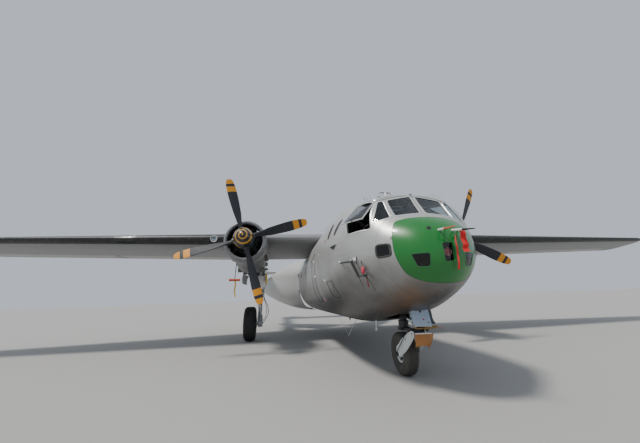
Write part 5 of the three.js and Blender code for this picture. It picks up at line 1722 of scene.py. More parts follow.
def buildNoseGear():
    y, z, py = gear["noseY"], gear["noseRadius"], gear["pivotY"]
    # Fixed leg with its cover plate
    leg = [lathe([(0.02, 1.095), (0.075, 1.095), (0.082, 1.11), (0.082, 1.16), (0.07, 1.18), (0.07, 1.859),
                  (0.02, 1.859)], (0, py, 0), "z", 36)]
    leg.append(bar((0, py - 0.02, 1.25), point(0, 1.56, 1.859), 0.034, sides=24))
    leg.append(bar((-0.2, py, 1.5), (0.2, py, 1.5), 0.04, sides=24))
    leg.append(bar((0.04, -9.56, 1.34), (0.045, -9.62, 1.04), 0.055, sides=28))
    leg.append(bar((0.04, -9.6, 1.1), (0.0, py - 0.05, 1.2), 0.032, sides=20))
    leg.append(bar((-0.1, -9.6, 1.1), (0.2, -9.6, 1.1), 0.028, sides=20))
    side = [bar((0.28, -9.5, 1.36), (0.36, -9.52, 1.06), 0.05, sides=24),
            bar((0.2, -9.6, 1.1), (0.4, -9.54, 1.07), 0.024)]
    side.append(block((0.27, -9.46, 1.04), (0.285, -9.0, 1.34)))
    corners = ((-0.122, -9.69, 1.36), (0.211, -9.69, 1.352), (0.216, -9.765, 1.036), (-0.111, -9.765, 1.05))
    plate = loft([[Vector(p) + Vector((0, push, 0)) for p in corners] for push in (0.0, 0.008)])
    corners = [Vector(p) for p in corners]
    back = Vector((0, 0.15, 0.01))

    def sideFlange(top, low, inward):
        ring = [top, low, low + back, top + back]
        return loft([ring, [p + Vector((inward, 0, 0)) for p in ring]])

    holes = [bar((-0.2, -9.62, h), (-0.05, -9.62, h), 0.022, sides=20) for h in (1.1, 1.18, 1.26)]
    flange = cut(sideFlange(corners[0], corners[3], 0.007), *holes)
    other = sideFlange(corners[1], corners[2], -0.007)
    lean = Matrix.Rotation(radians(-13.5), 4, "X")
    slots = []
    for across, height, half, tall in ((0.035, 1.3, 0.018, 0.016), (-0.082, 1.215, 0.01, 0.013),
                                       (0.165, 1.1, 0.016, 0.008)):
        spot = Matrix.Translation((across, -9.69 - (1.355 - height) * 0.237, height)) @ lean
        slots.append(moved(block((-half, -0.0012, -tall), (half, 0.004, tall)), spot))
    spot = Matrix.Translation((0.07, -9.69 - (1.355 - 1.16) * 0.237, 1.16)) @ lean
    mark = moved(lathe([(0.001, -0.0015), (0.017, -0.0015), (0.017, 0.003), (0.001, 0.003)], (0, 0, 0),
                       "y", 24), spot)
    edge = [bar(corners[3] + Vector((-0.006, 0.03, 0.0)), corners[2] + Vector((0.006, 0.03, 0.0)), 0.012)]
    for u in (0.12, 0.88):
        for v in (0.15, 0.85):
            spot = corners[0].lerp(corners[1], u).lerp(corners[3].lerp(corners[2], u), v)
            edge.append(pinAt(spot, (0, 0.004, 0), 0.007, 8))
    link = bar((0.07, -9.7, 0.995), (0.34, -9.7, 1.012), 0.027, sides=24)
    tip = joined(bar((0.34, -9.7, 1.012), (0.46, -9.7, 0.985), 0.02, sides=20),
                 bar((0.455, -9.7, 0.985), (0.475, -9.7, 0.962), 0.012, sides=16))
    ochre = [link, bar((-0.08, -9.68, 1.06), (-0.074, -9.67, 0.99), 0.018, sides=16),
             block((-0.04, -9.7, 0.982), (0.06, -9.64, 1.005))]
    # Turned fork
    fork = [bar((0, py, 0.96), (0, py, 1.0946), 0.105, sides=36),
            block((-0.11, py - 0.08, 0.9), (0.11, py + 0.08, 0.965))]
    fork.append(block((-0.06, -9.6, 0.905), (0.06, py, 0.96)))
    fork.append(bar((-0.14, -9.58, 0.92), (0.14, -9.58, 0.92), 0.035, sides=28))
    for s in (-1, 1):
        fork.append(bar((s * 0.12, -9.6, 0.896), (s * 0.143, -9.6, 0.896), 0.013, sides=20))
        fork.append(bar((s * 0.0755, y, z), (s * 0.19, y, z), 0.046, sides=28))
        fork.append(bar((s * 0.19, y, z), (s * 0.212, y, z), 0.034, sides=6))
    dark = []
    for s in (-1, 1):
        near, far = sorted((s * 0.19, s * 0.206))
        dark.append(block((near, y - 0.15, z - 0.035), (far, y + 0.045, z + 0.045)))
        dark.append(bar((s * 0.2, y - 0.1, z), (s * 0.222, y - 0.1, z), 0.02, sides=12))
    bracket = [bar((-0.1, -9.68, 0.905), (0.235, -9.66, 0.897), 0.012),
               bar((-0.09, -9.66, 0.9), (-0.09, -9.36, 0.88), 0.012),
               bar((0.09, -9.66, 0.9), (0.09, -9.36, 0.88), 0.012),
               bar((-0.13, -9.36, 0.88), (0.13, -9.36, 0.88), 0.014)]
    hose = tube([(-0.05, -9.52, 0.935), (-0.1, -9.5, 0.955), (-0.182, -9.4, 0.86), (-0.205, -9.2, 0.67),
                 (-0.225, -9.05, 0.52), (-0.215, -8.95, 0.45)], 0.008, 8, 8)
    swaps = {"noseLeg": "nose_leg", "noseFork": "nose_fork"}
    for name, shapes, paint, *body in (
        # the leg is near black, darker than the main legs' steel: painted shade under the nose
        ("noseLeg", leg, "darkSteel"),
        ("noseSideStrut", side, "bluedSteel"),
        ("noseCoverPlate", [plate, flange, other], "plateBlue"),
        ("noseCoverMark", mark, "redPaint"),
        # dark blocks in the plate's slots: painted shade
        ("noseCoverSlots", slots, "darkGap"),
        ("noseCoverEdges", edge, "whitePaint"),
        ("noseSteerLink", ochre, "linkOlive"),
        ("noseLinkTip", tip, "tipPink"),
        ("noseFork", fork, "darkSteel", "steering"),
        ("noseForkBoss", dark, "darkSteel", "steering"),
        ("noseForkArms", [noseArm(-1), noseArm(1)], "armWhite", "steering"),
        ("noseMudguard", mudguard(), "guardOchre", "steering"),
        ("noseGuardBracket", bracket, "whitePaint", "steering"),
        ("noseHose", hose, "hoseRubber", "steering"),
    ):
        piece(name, shapes, paint, "gear_steel", *body, replaces=swaps.get(name), sharp=38)


def buildGear():
    steel, chrome, dark, white, hoses = mainGear()
    centre = (gear["mainX"], gear["mainY"], gear["mainRadius"])
    tyre = tyreShape(gear["mainRadius"], gear["mainWidth"], gear["mainRim"], centre,
                     (-0.11, -0.037, 0.037, 0.11))
    hub, bolts = hubShape(gear["mainRim"], gear["mainWidth"], 0.0556, centre, 1)
    nut = bar(Vector(centre) + Vector((0.12, 0, 0)), Vector(centre) + Vector((0.18, 0, 0)), 0.05, 0.035,
              sides=24)
    for word, side in bothSides:
        low = word.lower()
        for name, shapes, paint in (("mainLeg", steel, "gearSteel"), ("mainPiston", chrome, "oleoChrome"),
                                    ("mainBrake", dark, "castMetal"), ("mainCover", white, "whitePaint"),
                                    ("mainHoses", hoses, "hoseRubber")):
            old = "main_leg_" + low if name == "mainLeg" else None
            piece(name + word, onSide(joined(*shapes), side), paint, "gear_steel", replaces=old)
        wheel = "main_wheel_" + low
        piece("mainTyre" + word, onSide(tyre, side), "mainRubber", "tyre", wheel, sharp=50,
              replaces="main_tyre_" + low)
        piece("mainHub" + word, onSide(hub, side), "frameMetal", "hub", wheel, replaces="main_hub_" + low)
        piece("mainHubBolts" + word, onSide(bolts, side), "castMetal", "hub", wheel)
        piece("axleCap" + word, onSide(nut, side), "gearSteel", "gear_steel")
    buildNoseGear()
    centre = (0, gear["noseY"], gear["noseRadius"])
    tyre = tyreShape(gear["noseRadius"], gear["noseWidth"], gear["noseRim"], centre, (-0.06, 0.0, 0.06))
    hub, bolts = hubShape(gear["noseRim"], gear["noseWidth"], 0.0346, centre, -1)
    piece("noseTyre", tyre, "noseRubber", "tyre", "nose_wheel", sharp=50, replaces="nose_tyre")
    piece("noseHub", hub, "rimBright", "hub", "nose_wheel", replaces="nose_hub")
    piece("noseHubBolts", bolts, "castMetal", "hub", "nose_wheel")


addPaints({
    "darkSteel": {"paint": (0.045, 0.045, 0.05), "rough": 0.45, "metal": 0.4, "dirt": 0.4, "patches": 0.2},
    "bluedSteel": {"paint": (0.035, 0.045, 0.075), "rough": 0.5, "dirt": 0.3, "patches": 0.2},
    "armWhite": {"paint": (0.66, 0.70, 0.68), "rough": 0.45, "dirt": 0.3, "patches": 0.1},
    "linkOlive": {
        "paint": (0.25, 0.145, 0.04), "rough": 0.5, "dirt": 0.5, "patches": 0.2,
        "grime": (0.06, 0.045, 0.03),
    },
    "tipPink": {"paint": (0.32, 0.23, 0.23), "rough": 0.5, "dirt": 0.2},
    "rimBright": {"paint": (0.62, 0.62, 0.60), "rough": 0.28, "metal": 0.7, "dirt": 0.35, "patches": 0.1},
})
buildGear()
print("gear built")


# Cockpit and hold: panes, frames, open side light, lining, seats, panel, controls, floors and ribs
cabin = {
    "floor": (1.0, 3.39, 1.9, 0.04, 0.026),
    "seatX": 0.52,
    "lining": 0.03,
    "sash": ((-1.425, 1.27, 3.03), (-1.135, 0.79, 3.015)),
}


hold = {
    "floor": (3.44, 11.195, 1.33, 0.06, 0.026),
    "railX": (-0.9, -0.3, 0.3, 0.9),
    "wingBox": (6.6, 10.9),
    "crewDoorHoops": (3.6, 4.65),
    "hoops": (3.9, 0.6, 13),
    "tieRings": (3.9, 0.54, 14),
}


def buildPanes():
    glass, smoked, frames, seals, dark = [], [], [], [], []
    for name, _, side, outline, place in cockpitPanes:
        small = name.startswith(("lower", "oval"))
        wide = 0.022
        band = ((-0.006, -0.014), (-0.006, 0.003), (0.002, 0.007), (wide, 0.006), (wide + 0.004, 0.0),
                (wide, -0.012))
        (dark if small else frames).append(rim(place, outline, band))
        seals.append(rim(place, outline, ((-0.011, -0.012), (-0.011, 0.0), (-0.005, 0.002),
                                          (-0.005, -0.012))))
        if name == "sideStarboard":
            continue
        sheet = pane(place, outline, -0.004, 0.006, -0.004)
        (smoked if small else glass).append(sheet)
    piece("cockpitGlass", glass, "clearGlass", "glazing", sharp=60, replaces="windscreen")
    piece("smallPanes", smoked, "smokedGlass", "glazing", sharp=60)
    piece("paneFrames", frames, "paleMetal", "silver_skin", sharp=40)
    piece("smallPaneFrames", dark, "mastDark", "glazing", sharp=40)
    piece("paneSeals", seals, "hoseRubber", "glazing", sharp=40)
    portholes, rings = [], []
    for where in pod["holdLights"]:
        radius = pod["holdLightRadius"]
        for side in (1, -1):
            outline = ovalOf(where, pod["holdLightHeight"], radius, radius, 40)
            portholes.append(pane(fromSide(side), outline, -0.004, 0.006, -0.003))
            rings.append(rim(fromSide(side), outline,
                             ((-0.008, -0.012), (-0.008, 0.004), (0.022, 0.006), (0.026, -0.01))))
    piece("holdGlass", portholes, "smokedGlass", "glazing", sharp=60)
    piece("holdGlassRings", rings, "frameMetal", "silver_skin", sharp=40)


def buildSash():
    corners = [fromSide(-1)(1.0, 3.46), fromSide(-1)(1.87, 3.645)]
    corners += [point(x, s, z) for x, s, z in cabin["sash"]]
    middle = sum(corners, Vector()) / 4
    normal = (corners[1] - corners[0]).cross(corners[3] - corners[0]).normalized()
    normal = -normal if normal.x > 0 else normal
    shift = normal * 0.012
    inner = [p.lerp(middle, 0.035) + shift for p in corners]
    frame = []
    for i in range(4):
        frame.append(bar(inner[i], inner[(i + 1) % 4], 0.0135, sides=12))
        frame.append(pinAt(inner[i], normal * 0.013, 0.0145, 12))
    sheet = loft([[p.lerp(middle, 0.03) + shift + normal * d for p in corners] for d in (-0.003, 0.003)])
    hinge = bar(corners[0] + shift * 0.3, corners[1] + shift * 0.3, 0.01, sides=10)
    stay = bar(point(-0.95, 1.0, 2.9), inner[3].lerp(inner[2], 0.3), 0.007, sides=8)
    catch = block((-0.012, -0.03, -0.012), (0.012, 0.03, 0.012))
    spot = inner[3].lerp(inner[2], 0.5)
    piece("sashFrame", [*frame, hinge], "paleMetal", "grey_skin", replaces="side_sash")
    piece("sashGlass", sheet, "clearGlass", "glazing")
    piece("sashStay", [stay, moved(catch, Matrix.Translation(spot))], "darkSteel", "gear_steel")


def buildLining():
    stops = spread(0.62, 3.36, 30)
    rows = stationRows(podRows, stops)
    outer = [ringOf(row, cabin["lining"], 56) for row in rows]
    inner = [ringOf(row, cabin["lining"] + 0.006, 56) for row in reversed(rows)]
    shell = loft(outer + inner, loop=True)
    for name, axis, side, outline, _ in cockpitPanes:
        if not name.startswith("lower"):
            shell = cut(shell, cutterFor(axis, side, grown(outline, 0.012)))
    shell = cut(shell, block(point(-2, 0.5, 0.5), point(2, 3.5, 1.86)))
    piece("cockpitLining", shell, "liningGrey", "panel", sharp=45)
    bows = []
    for s in (1.86, 2.38, 2.98):
        bows.append(hoopOf(podRow(s), spread(-0.05 * pi, 1.05 * pi, 44), 1, 0.038, 0.075, 0.018))
    piece("cockpitBows", bows, "innerGreen", "panel", sharp=45)


# stations, the upper side's height, then the gap to the skin
def floorPlate(start, end, top, thick, margin):
    rings = []
    for s in spread(start, end, 14):
        _, half, low, _, middle, _, lower = podRow(s)
        share = (middle - top + thick) / (middle - low)
        reach = half * (1 - min(share, 0.999) ** lower) ** (1 / lower) - margin
        rings.append([point(-reach, s, top - thick), point(reach, s, top - thick), point(reach, s, top),
                      point(-reach, s, top)])
    return loft(rings)


def cushion(centre, size, turn=0.0, puff=0.35):  # a stuffed block with round edges
    rings = []
    for k in range(13):
        t = -1 + 2 * k / 12
        shrink = (1 - abs(t) ** 4) ** 0.25 if abs(t) < 1 else 0.02
        ring = []
        for c, s in roundTrip(36):
            u, v = power(c, 0.42) * shrink, power(s, 0.42) * shrink
            crown = 1 + puff * 0.3 * (1 - u * u) * (1 - v * v)
            ring.append(Vector((u * size[0] / 2, v * size[1] / 2, t * size[2] / 2 * crown)))
        rings.append(ring)
    return moved(loft(rings), turnedAt(centre, turn, "X"))


def buildSeats():
    for word, side in bothSides:
        x = side * cabin["seatX"]
        base = [block(point(x - 0.11, 1.8, 1.9), point(x + 0.11, 2.04, 1.96))]
        base += [bar(point(x + a, b, 1.93), point(x + a * 1.6, b, 2.29), 0.016) for a in (-0.09, 0.09)
                 for b in (1.82, 2.02)]
        base.append(block(point(x - 0.23, 1.68, 2.27), point(x + 0.23, 2.15, 2.3)))
        lean = turnedAt(point(x, 2.15, 2.3), radians(-8), "X")
        base.append(moved(block((-0.22, 0.0, 0.0), (0.22, 0.022, 0.82)), lean))
        for a in (-0.245, 0.245):
            base.append(bar(point(x + a, 2.17, 2.52), point(x + a, 1.82, 2.5), 0.018))
            base.append(bar(point(x + a, 2.17, 2.36), point(x + a, 2.17, 2.54), 0.014))
        piece("seatFrame" + word, base, "innerGreen", "panel", bevel=0.003, replaces="seat_" + word.lower())
        pan = piece("seatPad" + word, cushion(point(x, 1.9, 2.345), (0.44, 0.44, 0.09)), "seatCloth",
                    "seat_cloth")
        rest = piece("seatBack" + word, cushion(point(x, 2.17, 2.68), (0.42, 0.58, 0.09), radians(-98)),
                     "seatCloth", "seat_cloth")
        head = piece("seatHead" + word, cushion(point(x, 2.2, 3.05), (0.28, 0.16, 0.09), radians(-98)),
                     "paleCloth", "seat_cloth")


def buildPanel():
    face = [(noseY + 1.01, 1.9005), (noseY + 1.18, 1.9005), (noseY + 1.26, 2.7), (noseY + 1.3, 2.96),
            (noseY + 0.98, 2.96), (noseY + 0.94, 2.88)]
    body = common(prism(face, "x", -0.92, 0.92), podInset(0.034))
    hood = common(prism([(noseY + 0.9, 2.955), (noseY + 1.38, 2.975), (noseY + 1.38, 3.0),
                         (noseY + 0.9, 3.0)], "x", -0.95, 0.95), podInset(0.034))
    box = block(point(-0.17, 1.1, 1.9005), point(0.17, 1.65, 2.48))
    piece("panelBody", [body, box], "panelBlack", "panel", bevel=0.004, replaces="instrument_panel")
    piece("panelHood", hood, "hoodCloth", "panel", bevel=0.003)
    dials, rings, hands = [], [], []
    slope = Vector((0, 0.26, -0.04)).normalized()
    for row, (s, z) in enumerate(((1.283, 2.86), (1.268, 2.755))):
        for k in range(14):
            x = -0.78 + 1.56 * k / 13
            if abs(x) > 0.8 or podField((x, noseY + s, z)) > -0.12:
                continue
            spot = point(x, s, z)
            dials.append(bar(spot, spot + slope * 0.006, 0.038, sides=28))
            rings.append(moved(lathe([(0.037, 0.0), (0.045, 0.0), (0.045, 0.011), (0.037, 0.011)],
                                     (0, 0, 0), "y", 28, True), turnedAt(spot, radians(-8), "X")))
            angle = 0.7 * k + 1.9 * row
            tip = Vector((cos(angle) * 0.028, 0, sin(angle) * 0.028))
            hands.append(bar(spot + slope * 0.0075, spot + slope * 0.0075 + tip, 0.0022, 0.001, sides=6))
    piece("dialFaces", dials, "dialFace", "panel")
    piece("dialRings", rings, "darkSteel", "panel")
    piece("dialHands", hands, "dialWhite", "panel")
    levers, knobs = [], []
    for k in range(6):
        x = -0.1 + 0.04 * k
        levers.append(bar(point(x, 1.36, 2.47), (x, noseY + 1.3 + 0.03 * (k % 3), 2.62), 0.006, sides=8))
        knobs.append(bar((x, noseY + 1.3 + 0.03 * (k % 3), 2.61), (x, noseY + 1.3 + 0.03 * (k % 3), 2.645),
                         0.015, sides=14))
    for side in (-1, 1):
        x = side * cabin["seatX"]
        levers.append(tube([point(x, 1.5, 1.9), point(x, 1.47, 2.2), point(x, 1.42, 2.58)], 0.022, 14, 6))
        wheel = []
        for k in range(25):
            angle = radians(-220 + 260 * k / 24)
            wheel.append(point(x + 0.17 * cos(angle), 1.46, 2.62 + 0.14 * sin(angle)))
        levers.append(tube(wheel, 0.012, 10))
        levers.append(bar(point(x - 0.16, 1.46, 2.6), point(x + 0.16, 1.46, 2.6), 0.012, sides=10))
        levers.append(bar(point(x, 1.4, 2.6), point(x, 1.48, 2.6), 0.03, sides=18))
        for a in (-0.12, 0.12):
            levers.append(block(point(x + a - 0.05, 1.2, 2.02), point(x + a + 0.05, 1.23, 2.14)))
    piece("controlLevers", levers, "panelBlack", "panel")
    piece("leverKnobs", knobs, "redPaint", "panel")
    compass = [lathe([(0.005, -0.045), (0.035, -0.04), (0.045, 0.0), (0.035, 0.04), (0.005, 0.045)],
                     point(0, 1.12, 3.42), "y", 24)]
    compass.append(bar(point(0, 1.1, 3.44), point(0, 1.08, 3.52), 0.008))
    for side in (-1, 1):
        compass.append(bar(point(side * 0.36, 1.28, 3.5), point(side * 0.28, 1.2, 3.38), 0.006))
    piece("compass", compass, "panelBlack", "panel")
    visors = []
    for side in (-1, 1):
        ring = [point(side * 0.18, 1.12, 3.4), point(side * 0.42, 1.14, 3.385),
                point(side * 0.42, 1.1, 3.3), point(side * 0.18, 1.08, 3.31),
                point(side * 0.18, 1.12, 3.4)]
        visors.append(tube(ring, 0.007, 8))
    piece("sunVisors", visors, "dialWhite", "panel")


def podInset(inset):
    stops = spread(0.5, 1.6, 16)
    return loft([ringOf(row, inset, 64) for row in stationRows(podRows, stops)])


def buildCabinWall():
    row = podRow(pod["splitStation"])
    ring = ringOf(row, 0.0235, 72)
    plate = loft([[p + Vector((0, shift, 0)) for p in ring] for shift in (-0.0092, 0.024)])
    plate = cut(plate, block(point(-2, 3.3, 0), point(2, 3.5, 0.7)),
                block(point(-0.38, 3.3, 1.9), point(0.38, 3.5, 3.7)))
    piece("cabinWall", plate, "innerGreen", "panel", replaces="cabin_wall")
    trim = [tube([point(-0.38, 3.405, 1.9), point(-0.38, 3.405, 3.7), point(0.38, 3.405, 3.7),
                  point(0.38, 3.405, 1.9)], 0.02, 8)]
    boxes = []
    for x, z, w, h in ((-0.95, 2.9, 0.3, 0.4), (-0.85, 2.3, 0.36, 0.42), (0.9, 2.75, 0.32, 0.5),
                       (0.8, 2.2, 0.3, 0.3)):
        boxes.append(block(point(x - w / 2, 3.43, z - h / 2), point(x + w / 2, 3.58, z + h / 2)))
        boxes.append(block(point(x - w / 2, 3.1, z - h / 2), point(x + w / 2, 3.385, z + h / 2)))
    piece("cabinDoorTrim", trim, "frameMetal", "panel")
    piece("cabinBoxes", boxes, "panelBlack", "panel", bevel=0.006)
    piece("cockpitFloor", floorPlate(*cabin["floor"]), "floorMetal", "floor", replaces="cockpit_floor")


def buildHold():
    piece("cargoFloor", floorPlate(*hold["floor"]), "floorMetal", "floor", replaces="cargo_floor")
    rails, rings = [], []
    for x in hold["railX"]:
        rails.append(block(point(x - 0.035, 3.6, 1.33), point(x + 0.035, 11.15, 1.342)))
    first, step, count = hold["tieRings"]
    for s in [first + step * k for k in range(count)]:
        for x in hold["railX"]:
            at = point(x, s, 1.343)
            rings.append(lathe([(0.024, 0.0), (0.034, 0.0), (0.034, 0.008), (0.024, 0.008)], at, "z", 20,
                               closed=True))
    hoops, stringers = [], []
    first, step, count = hold["hoops"]
    (boxStart, boxEnd), (doorStart, doorEnd) = hold["wingBox"], hold["crewDoorHoops"]
    for s in [first + step * k for k in range(count)]:
        top = 0.22 * pi if boxStart < s < boxEnd else 0.5 * pi
        for side in (1, -1):
            low = 0.16 * pi if doorStart < s < doorEnd and side > 0 else -0.25 * pi
            hoops.append(hoopOf(podRow(s), spread(low, top, 18), side, 0.026, 0.1, 0.02))
    for angle in (-0.55, -0.3, -0.08, 0.3, 0.5):
        for side in (-1, 1):
            stops = spread(4.75 if side > 0 else 3.5, 11.1, 24)
            stringers.append(tube([arcOf(podRow(s), 0.036, [angle], side)[0] for s in stops], 0.014, 6))
    piece("holdHoops", hoops, "innerGreen", "panel", sharp=45)
    piece("holdStringers", stringers, "innerGreen", "panel", sharp=45)
    piece("floorRails", rails, "frameMetal", "floor", bevel=0.002)
    piece("tieRings", rings, "darkSteel", "floor")
    ring = []
    for inset, shift in ((-0.004, -0.05), (-0.004, 0.006), (0.05, 0.006), (0.05, -0.05)):
        ring.append([p + Vector((0, shift, 0)) for p in ringOf(podRow(11.19), inset, 96)])
    piece("rearFrame", loft(ring, loop=True), "frameMetal", "silver_skin", sharp=45)


addPaints({
    "mastDark": {"paint": (0.035, 0.04, 0.037), "rough": 0.5, "dirt": 0.2, "patches": 0.1},
    "paleMetal": {"paint": (0.60, 0.61, 0.60), "rough": 0.3, "metal": 0.45, "dirt": 0.12, "patches": 0.05},
    "liningGrey": {"paint": (0.085, 0.09, 0.085), "rough": 0.8, "dirt": 0.2, "patches": 0.1},
    "hoodCloth": {"paint": (0.02, 0.02, 0.02), "rough": 0.95, "dirt": 0.1, "patches": 0.1},
    "paleCloth": {"paint": (0.42, 0.41, 0.36), "rough": 0.9, "dirt": 0.1, "patches": 0.1, "sheen": 0.3},
})
buildPanes()
buildSash()
buildLining()
buildSeats()
buildPanel()
buildCabinWall()
buildHold()
print("cockpit and hold built")


# Small parts: nose lamps, probes with their covers, masts, marks, aerials, lights and ribbons
details = {
    "doorStreamer": {
        "width": 0.06,
        "line": ((-3.19, -3.29, 2.63), (-3.165, -3.31, 2.55), (-3.16, -3.31, 2.44), (-3.17, -3.3, 2.33),
            (-3.16, -3.3, 2.22)),
    },
    "probes": (((-0.06, -10.83, 2.652), (-0.06, -11.27, 2.605), (-0.045, -10.93, 2.43)),
               ((0.2, -10.84, 2.648), (0.2, -11.36, 2.55), (0.2, -10.885, 2.49))),
    "wideStreamer": {"width": 0.085, "line": ((0.236, -11.02, 2.6), (0.247, -11.03, 2.551),
        (0.252, -11.01, 2.47),
                                              (0.262, -11.035, 2.37), (0.258, -11.01, 2.32),
                                                  (0.268, -11.03, 2.255))},
    "thinStreamer": {"width": 0.03, "line": ((0.18, -10.93, 2.535), (0.125, -10.985, 2.45),
        (0.108, -11.02, 2.33),
                                             (0.112, -11.0, 2.21), (0.096, -11.02, 2.1),
                                                 (0.09, -11.0, 1.985))},
    "mastStreamer": {
        "width": 0.062,
        "line": ((-1.107, -10.045, 1.958), (-1.09, -10.03, 1.91), (-1.075, -10.02, 1.86),
            (-1.045, -9.96, 1.79)),
    },
    "tipLights": (16.1, -3.65, 4.015),
}


def ribbon(line, width, across=(1, 0, 0), thick=0.0016, fine=8, curl=0.0):
    points = curveThrough([Vector(p) for p in line], fine)
    side = Vector(across).normalized()
    rings = []
    for i, p in enumerate(points):
        along = (points[min(i + 1, len(points) - 1)] - points[max(i - 1, 0)]).normalized()
        out = along.cross(side).normalized()
        wide = side * cos(curl * i / len(points)) + out * sin(curl * i / len(points))
        out = along.cross(wide).normalized()
        ring = []
        for k in range(9):
            u = -0.5 + k / 8
            ring.append(p + wide * width * u + out * (thick / 2 + 0.12 * width * (u * u - 0.08)))
        for k in range(8, -1, -1):
            u = -0.5 + k / 8
            ring.append(p + wide * width * u + out * (0.12 * width * (u * u - 0.08) - thick / 2))
        rings.append(ring)
    length = sum((b - a).length for a, b in zip(points, points[1:]))
    return loft(rings), length


def streamer(name, look, paint, across=(1, 0, 0), curl=0.0):
    shape, length = ribbon(look["line"], look["width"], across, curl=curl)
    cloth = piece(name, shape, paint, "seat_cloth", sharp=60)


def skinSpot(side, where, height, lift=0.0):
    spot = fromSide(side)(where, height)
    return spot + podNormal(spot) * lift


def badge(side, where, height, halfU, halfV, lift=0.004):
    return pane(fromSide(side), ovalOf(where, height, halfU, halfV, 20), lift, 0.008, 0.0, 2)


def capLamps():
    glass, frames = {"smokedGlass": [], "lampGlass": []}, []
    for name, corners in capPanes.items():
        outline = outlineOf(corners, 0.035)
        kind = "lampGlass" if name == "middle" else "smokedGlass"
        glass[kind].append(pane(fromAhead, outline, -0.004, 0.006, -0.002))
        frames.append(rim(fromAhead, outline, ((-0.003, -0.01), (-0.003, 0.003), (0.009, 0.004),
                                               (0.011, -0.004))))
    piece("capGlass", glass["smokedGlass"], "smokedGlass", "glazing", sharp=60)
    piece("capLampGlass", glass["lampGlass"], "lampGlass", "glazing", sharp=60)
    piece("capGlassTrim", frames, "capTrim", "green_cap", sharp=50)
    centre = point(0.0, 0.075, 2.27)
    bowl = [(0.004, 0.05), (0.03, 0.043), (0.055, 0.02), (0.068, -0.012), (0.072, -0.014), (0.058, 0.026),
            (0.03, 0.052), (0.004, 0.06)]
    piece("noseLamp", lathe(bowl, centre, "y", 36), "lampMirror", "panel", sharp=60)
    lens = [(0.002, -0.03), (0.035, -0.026), (0.066, -0.014), (0.066, -0.009), (0.002, -0.012)]
    piece("noseLampLens", lathe(lens, centre, "y", 36), "rosyGlass", "glazing", sharp=60)
    back = block(point(-0.6, 0.30, 1.98), point(0.6, 0.31, 2.5))
    inside = loft([ringOf(row, 0.03, 48) for row in stationRows(podRows, spread(0.05, 0.6, 10))])
    piece("capBackPlate", common(back, inside), "panelBlack", "panel")
    hole = fromAhead(-0.2, 2.697)
    normal = podNormal(hole)
    ring = [circleAround(hole + normal * lift, normal, radius) for radius, lift in
            ((0.036, 0.001), (0.040, 0.004), (0.046, 0.003), (0.048, -0.004))]
    piece("capHoleRim", loft(ring), "capTrim", "green_cap", sharp=50)
    # a dark disc fills the hole: painted shade
    piece("capHole", loft([circleAround(hole + normal * lift, normal, 0.0365)
                           for lift in (-0.004, 0.0045)]), "darkGap", "green_cap")


def circleAround(centre, normal, radius, sides=28):
    turn = Vector((0, 0, 1)).rotation_difference(normal).to_matrix()
    return circlePoints(centre, turn, radius, sides)


def buildProbes():
    tubes, covers, posts = [], [], []
    for k, (rear, tip, foot) in enumerate(details["probes"]):
        rear, tip, foot = Vector(rear), Vector(tip), Vector(foot)
        share = 0.42 if k == 0 else 0.5
        mid = rear.lerp(tip, share)
        tubes.append(bar(rear, mid, 0.021, 0.02, 20))
        tubes.append(bar(rear - (tip - rear) * 0.04, rear, 0.012, 0.021, 20))
        covers.append(bar(mid, tip, 0.018, 0.008, 20))
        covers.append(bar(tip, tip + (tip - rear).normalized() * 0.02, 0.008, 0.002, 20))
        hold = rear.lerp(tip, 0.47 if k == 0 else 0.26)
        root = fromAhead(foot.x, foot.z)
        posts.append(loft([ovalRing(hold, 0.007, 0.018), ovalRing(hold.lerp(root, 0.5), 0.007, 0.018),
                           ovalRing(root, 0.009, 0.024)]))
    piece("probeTubes", tubes, "whitePaint", "gear_steel")
    piece("probeCoverNear", covers[0], "tubeOrange", "seat_cloth")
    piece("probeCoverTip", covers[1], "tubeOrange", "seat_cloth")
    piece("probeCoverFar", covers[2:], "hoseRubber", "seat_cloth")
    piece("probePosts", posts, "capPaint", "green_cap")
    streamer("wideStreamer", details["wideStreamer"], "redCloth", (1, -0.25, 0), 0.2)
    streamer("thinStreamer", details["thinStreamer"], "redCloth", (1, 0.4, 0), 0.7)
    tie = tube([(0.2, -11.03, 2.59), (0.225, -11.04, 2.615), (0.236, -11.02, 2.598)], 0.005, 8, 6)
    cord = tube([(0.2, -10.925, 2.56), (0.19, -10.93, 2.545), (0.18, -10.93, 2.532)], 0.005, 8, 6)
    piece("streamerTies", [tie, cord], "redPaint", "seat_cloth")


def ovalRing(centre, halfX, halfY, sides=20):
    return [centre + Vector((halfX * c, halfY * s, 0)) for c, s in roundTrip(sides)]


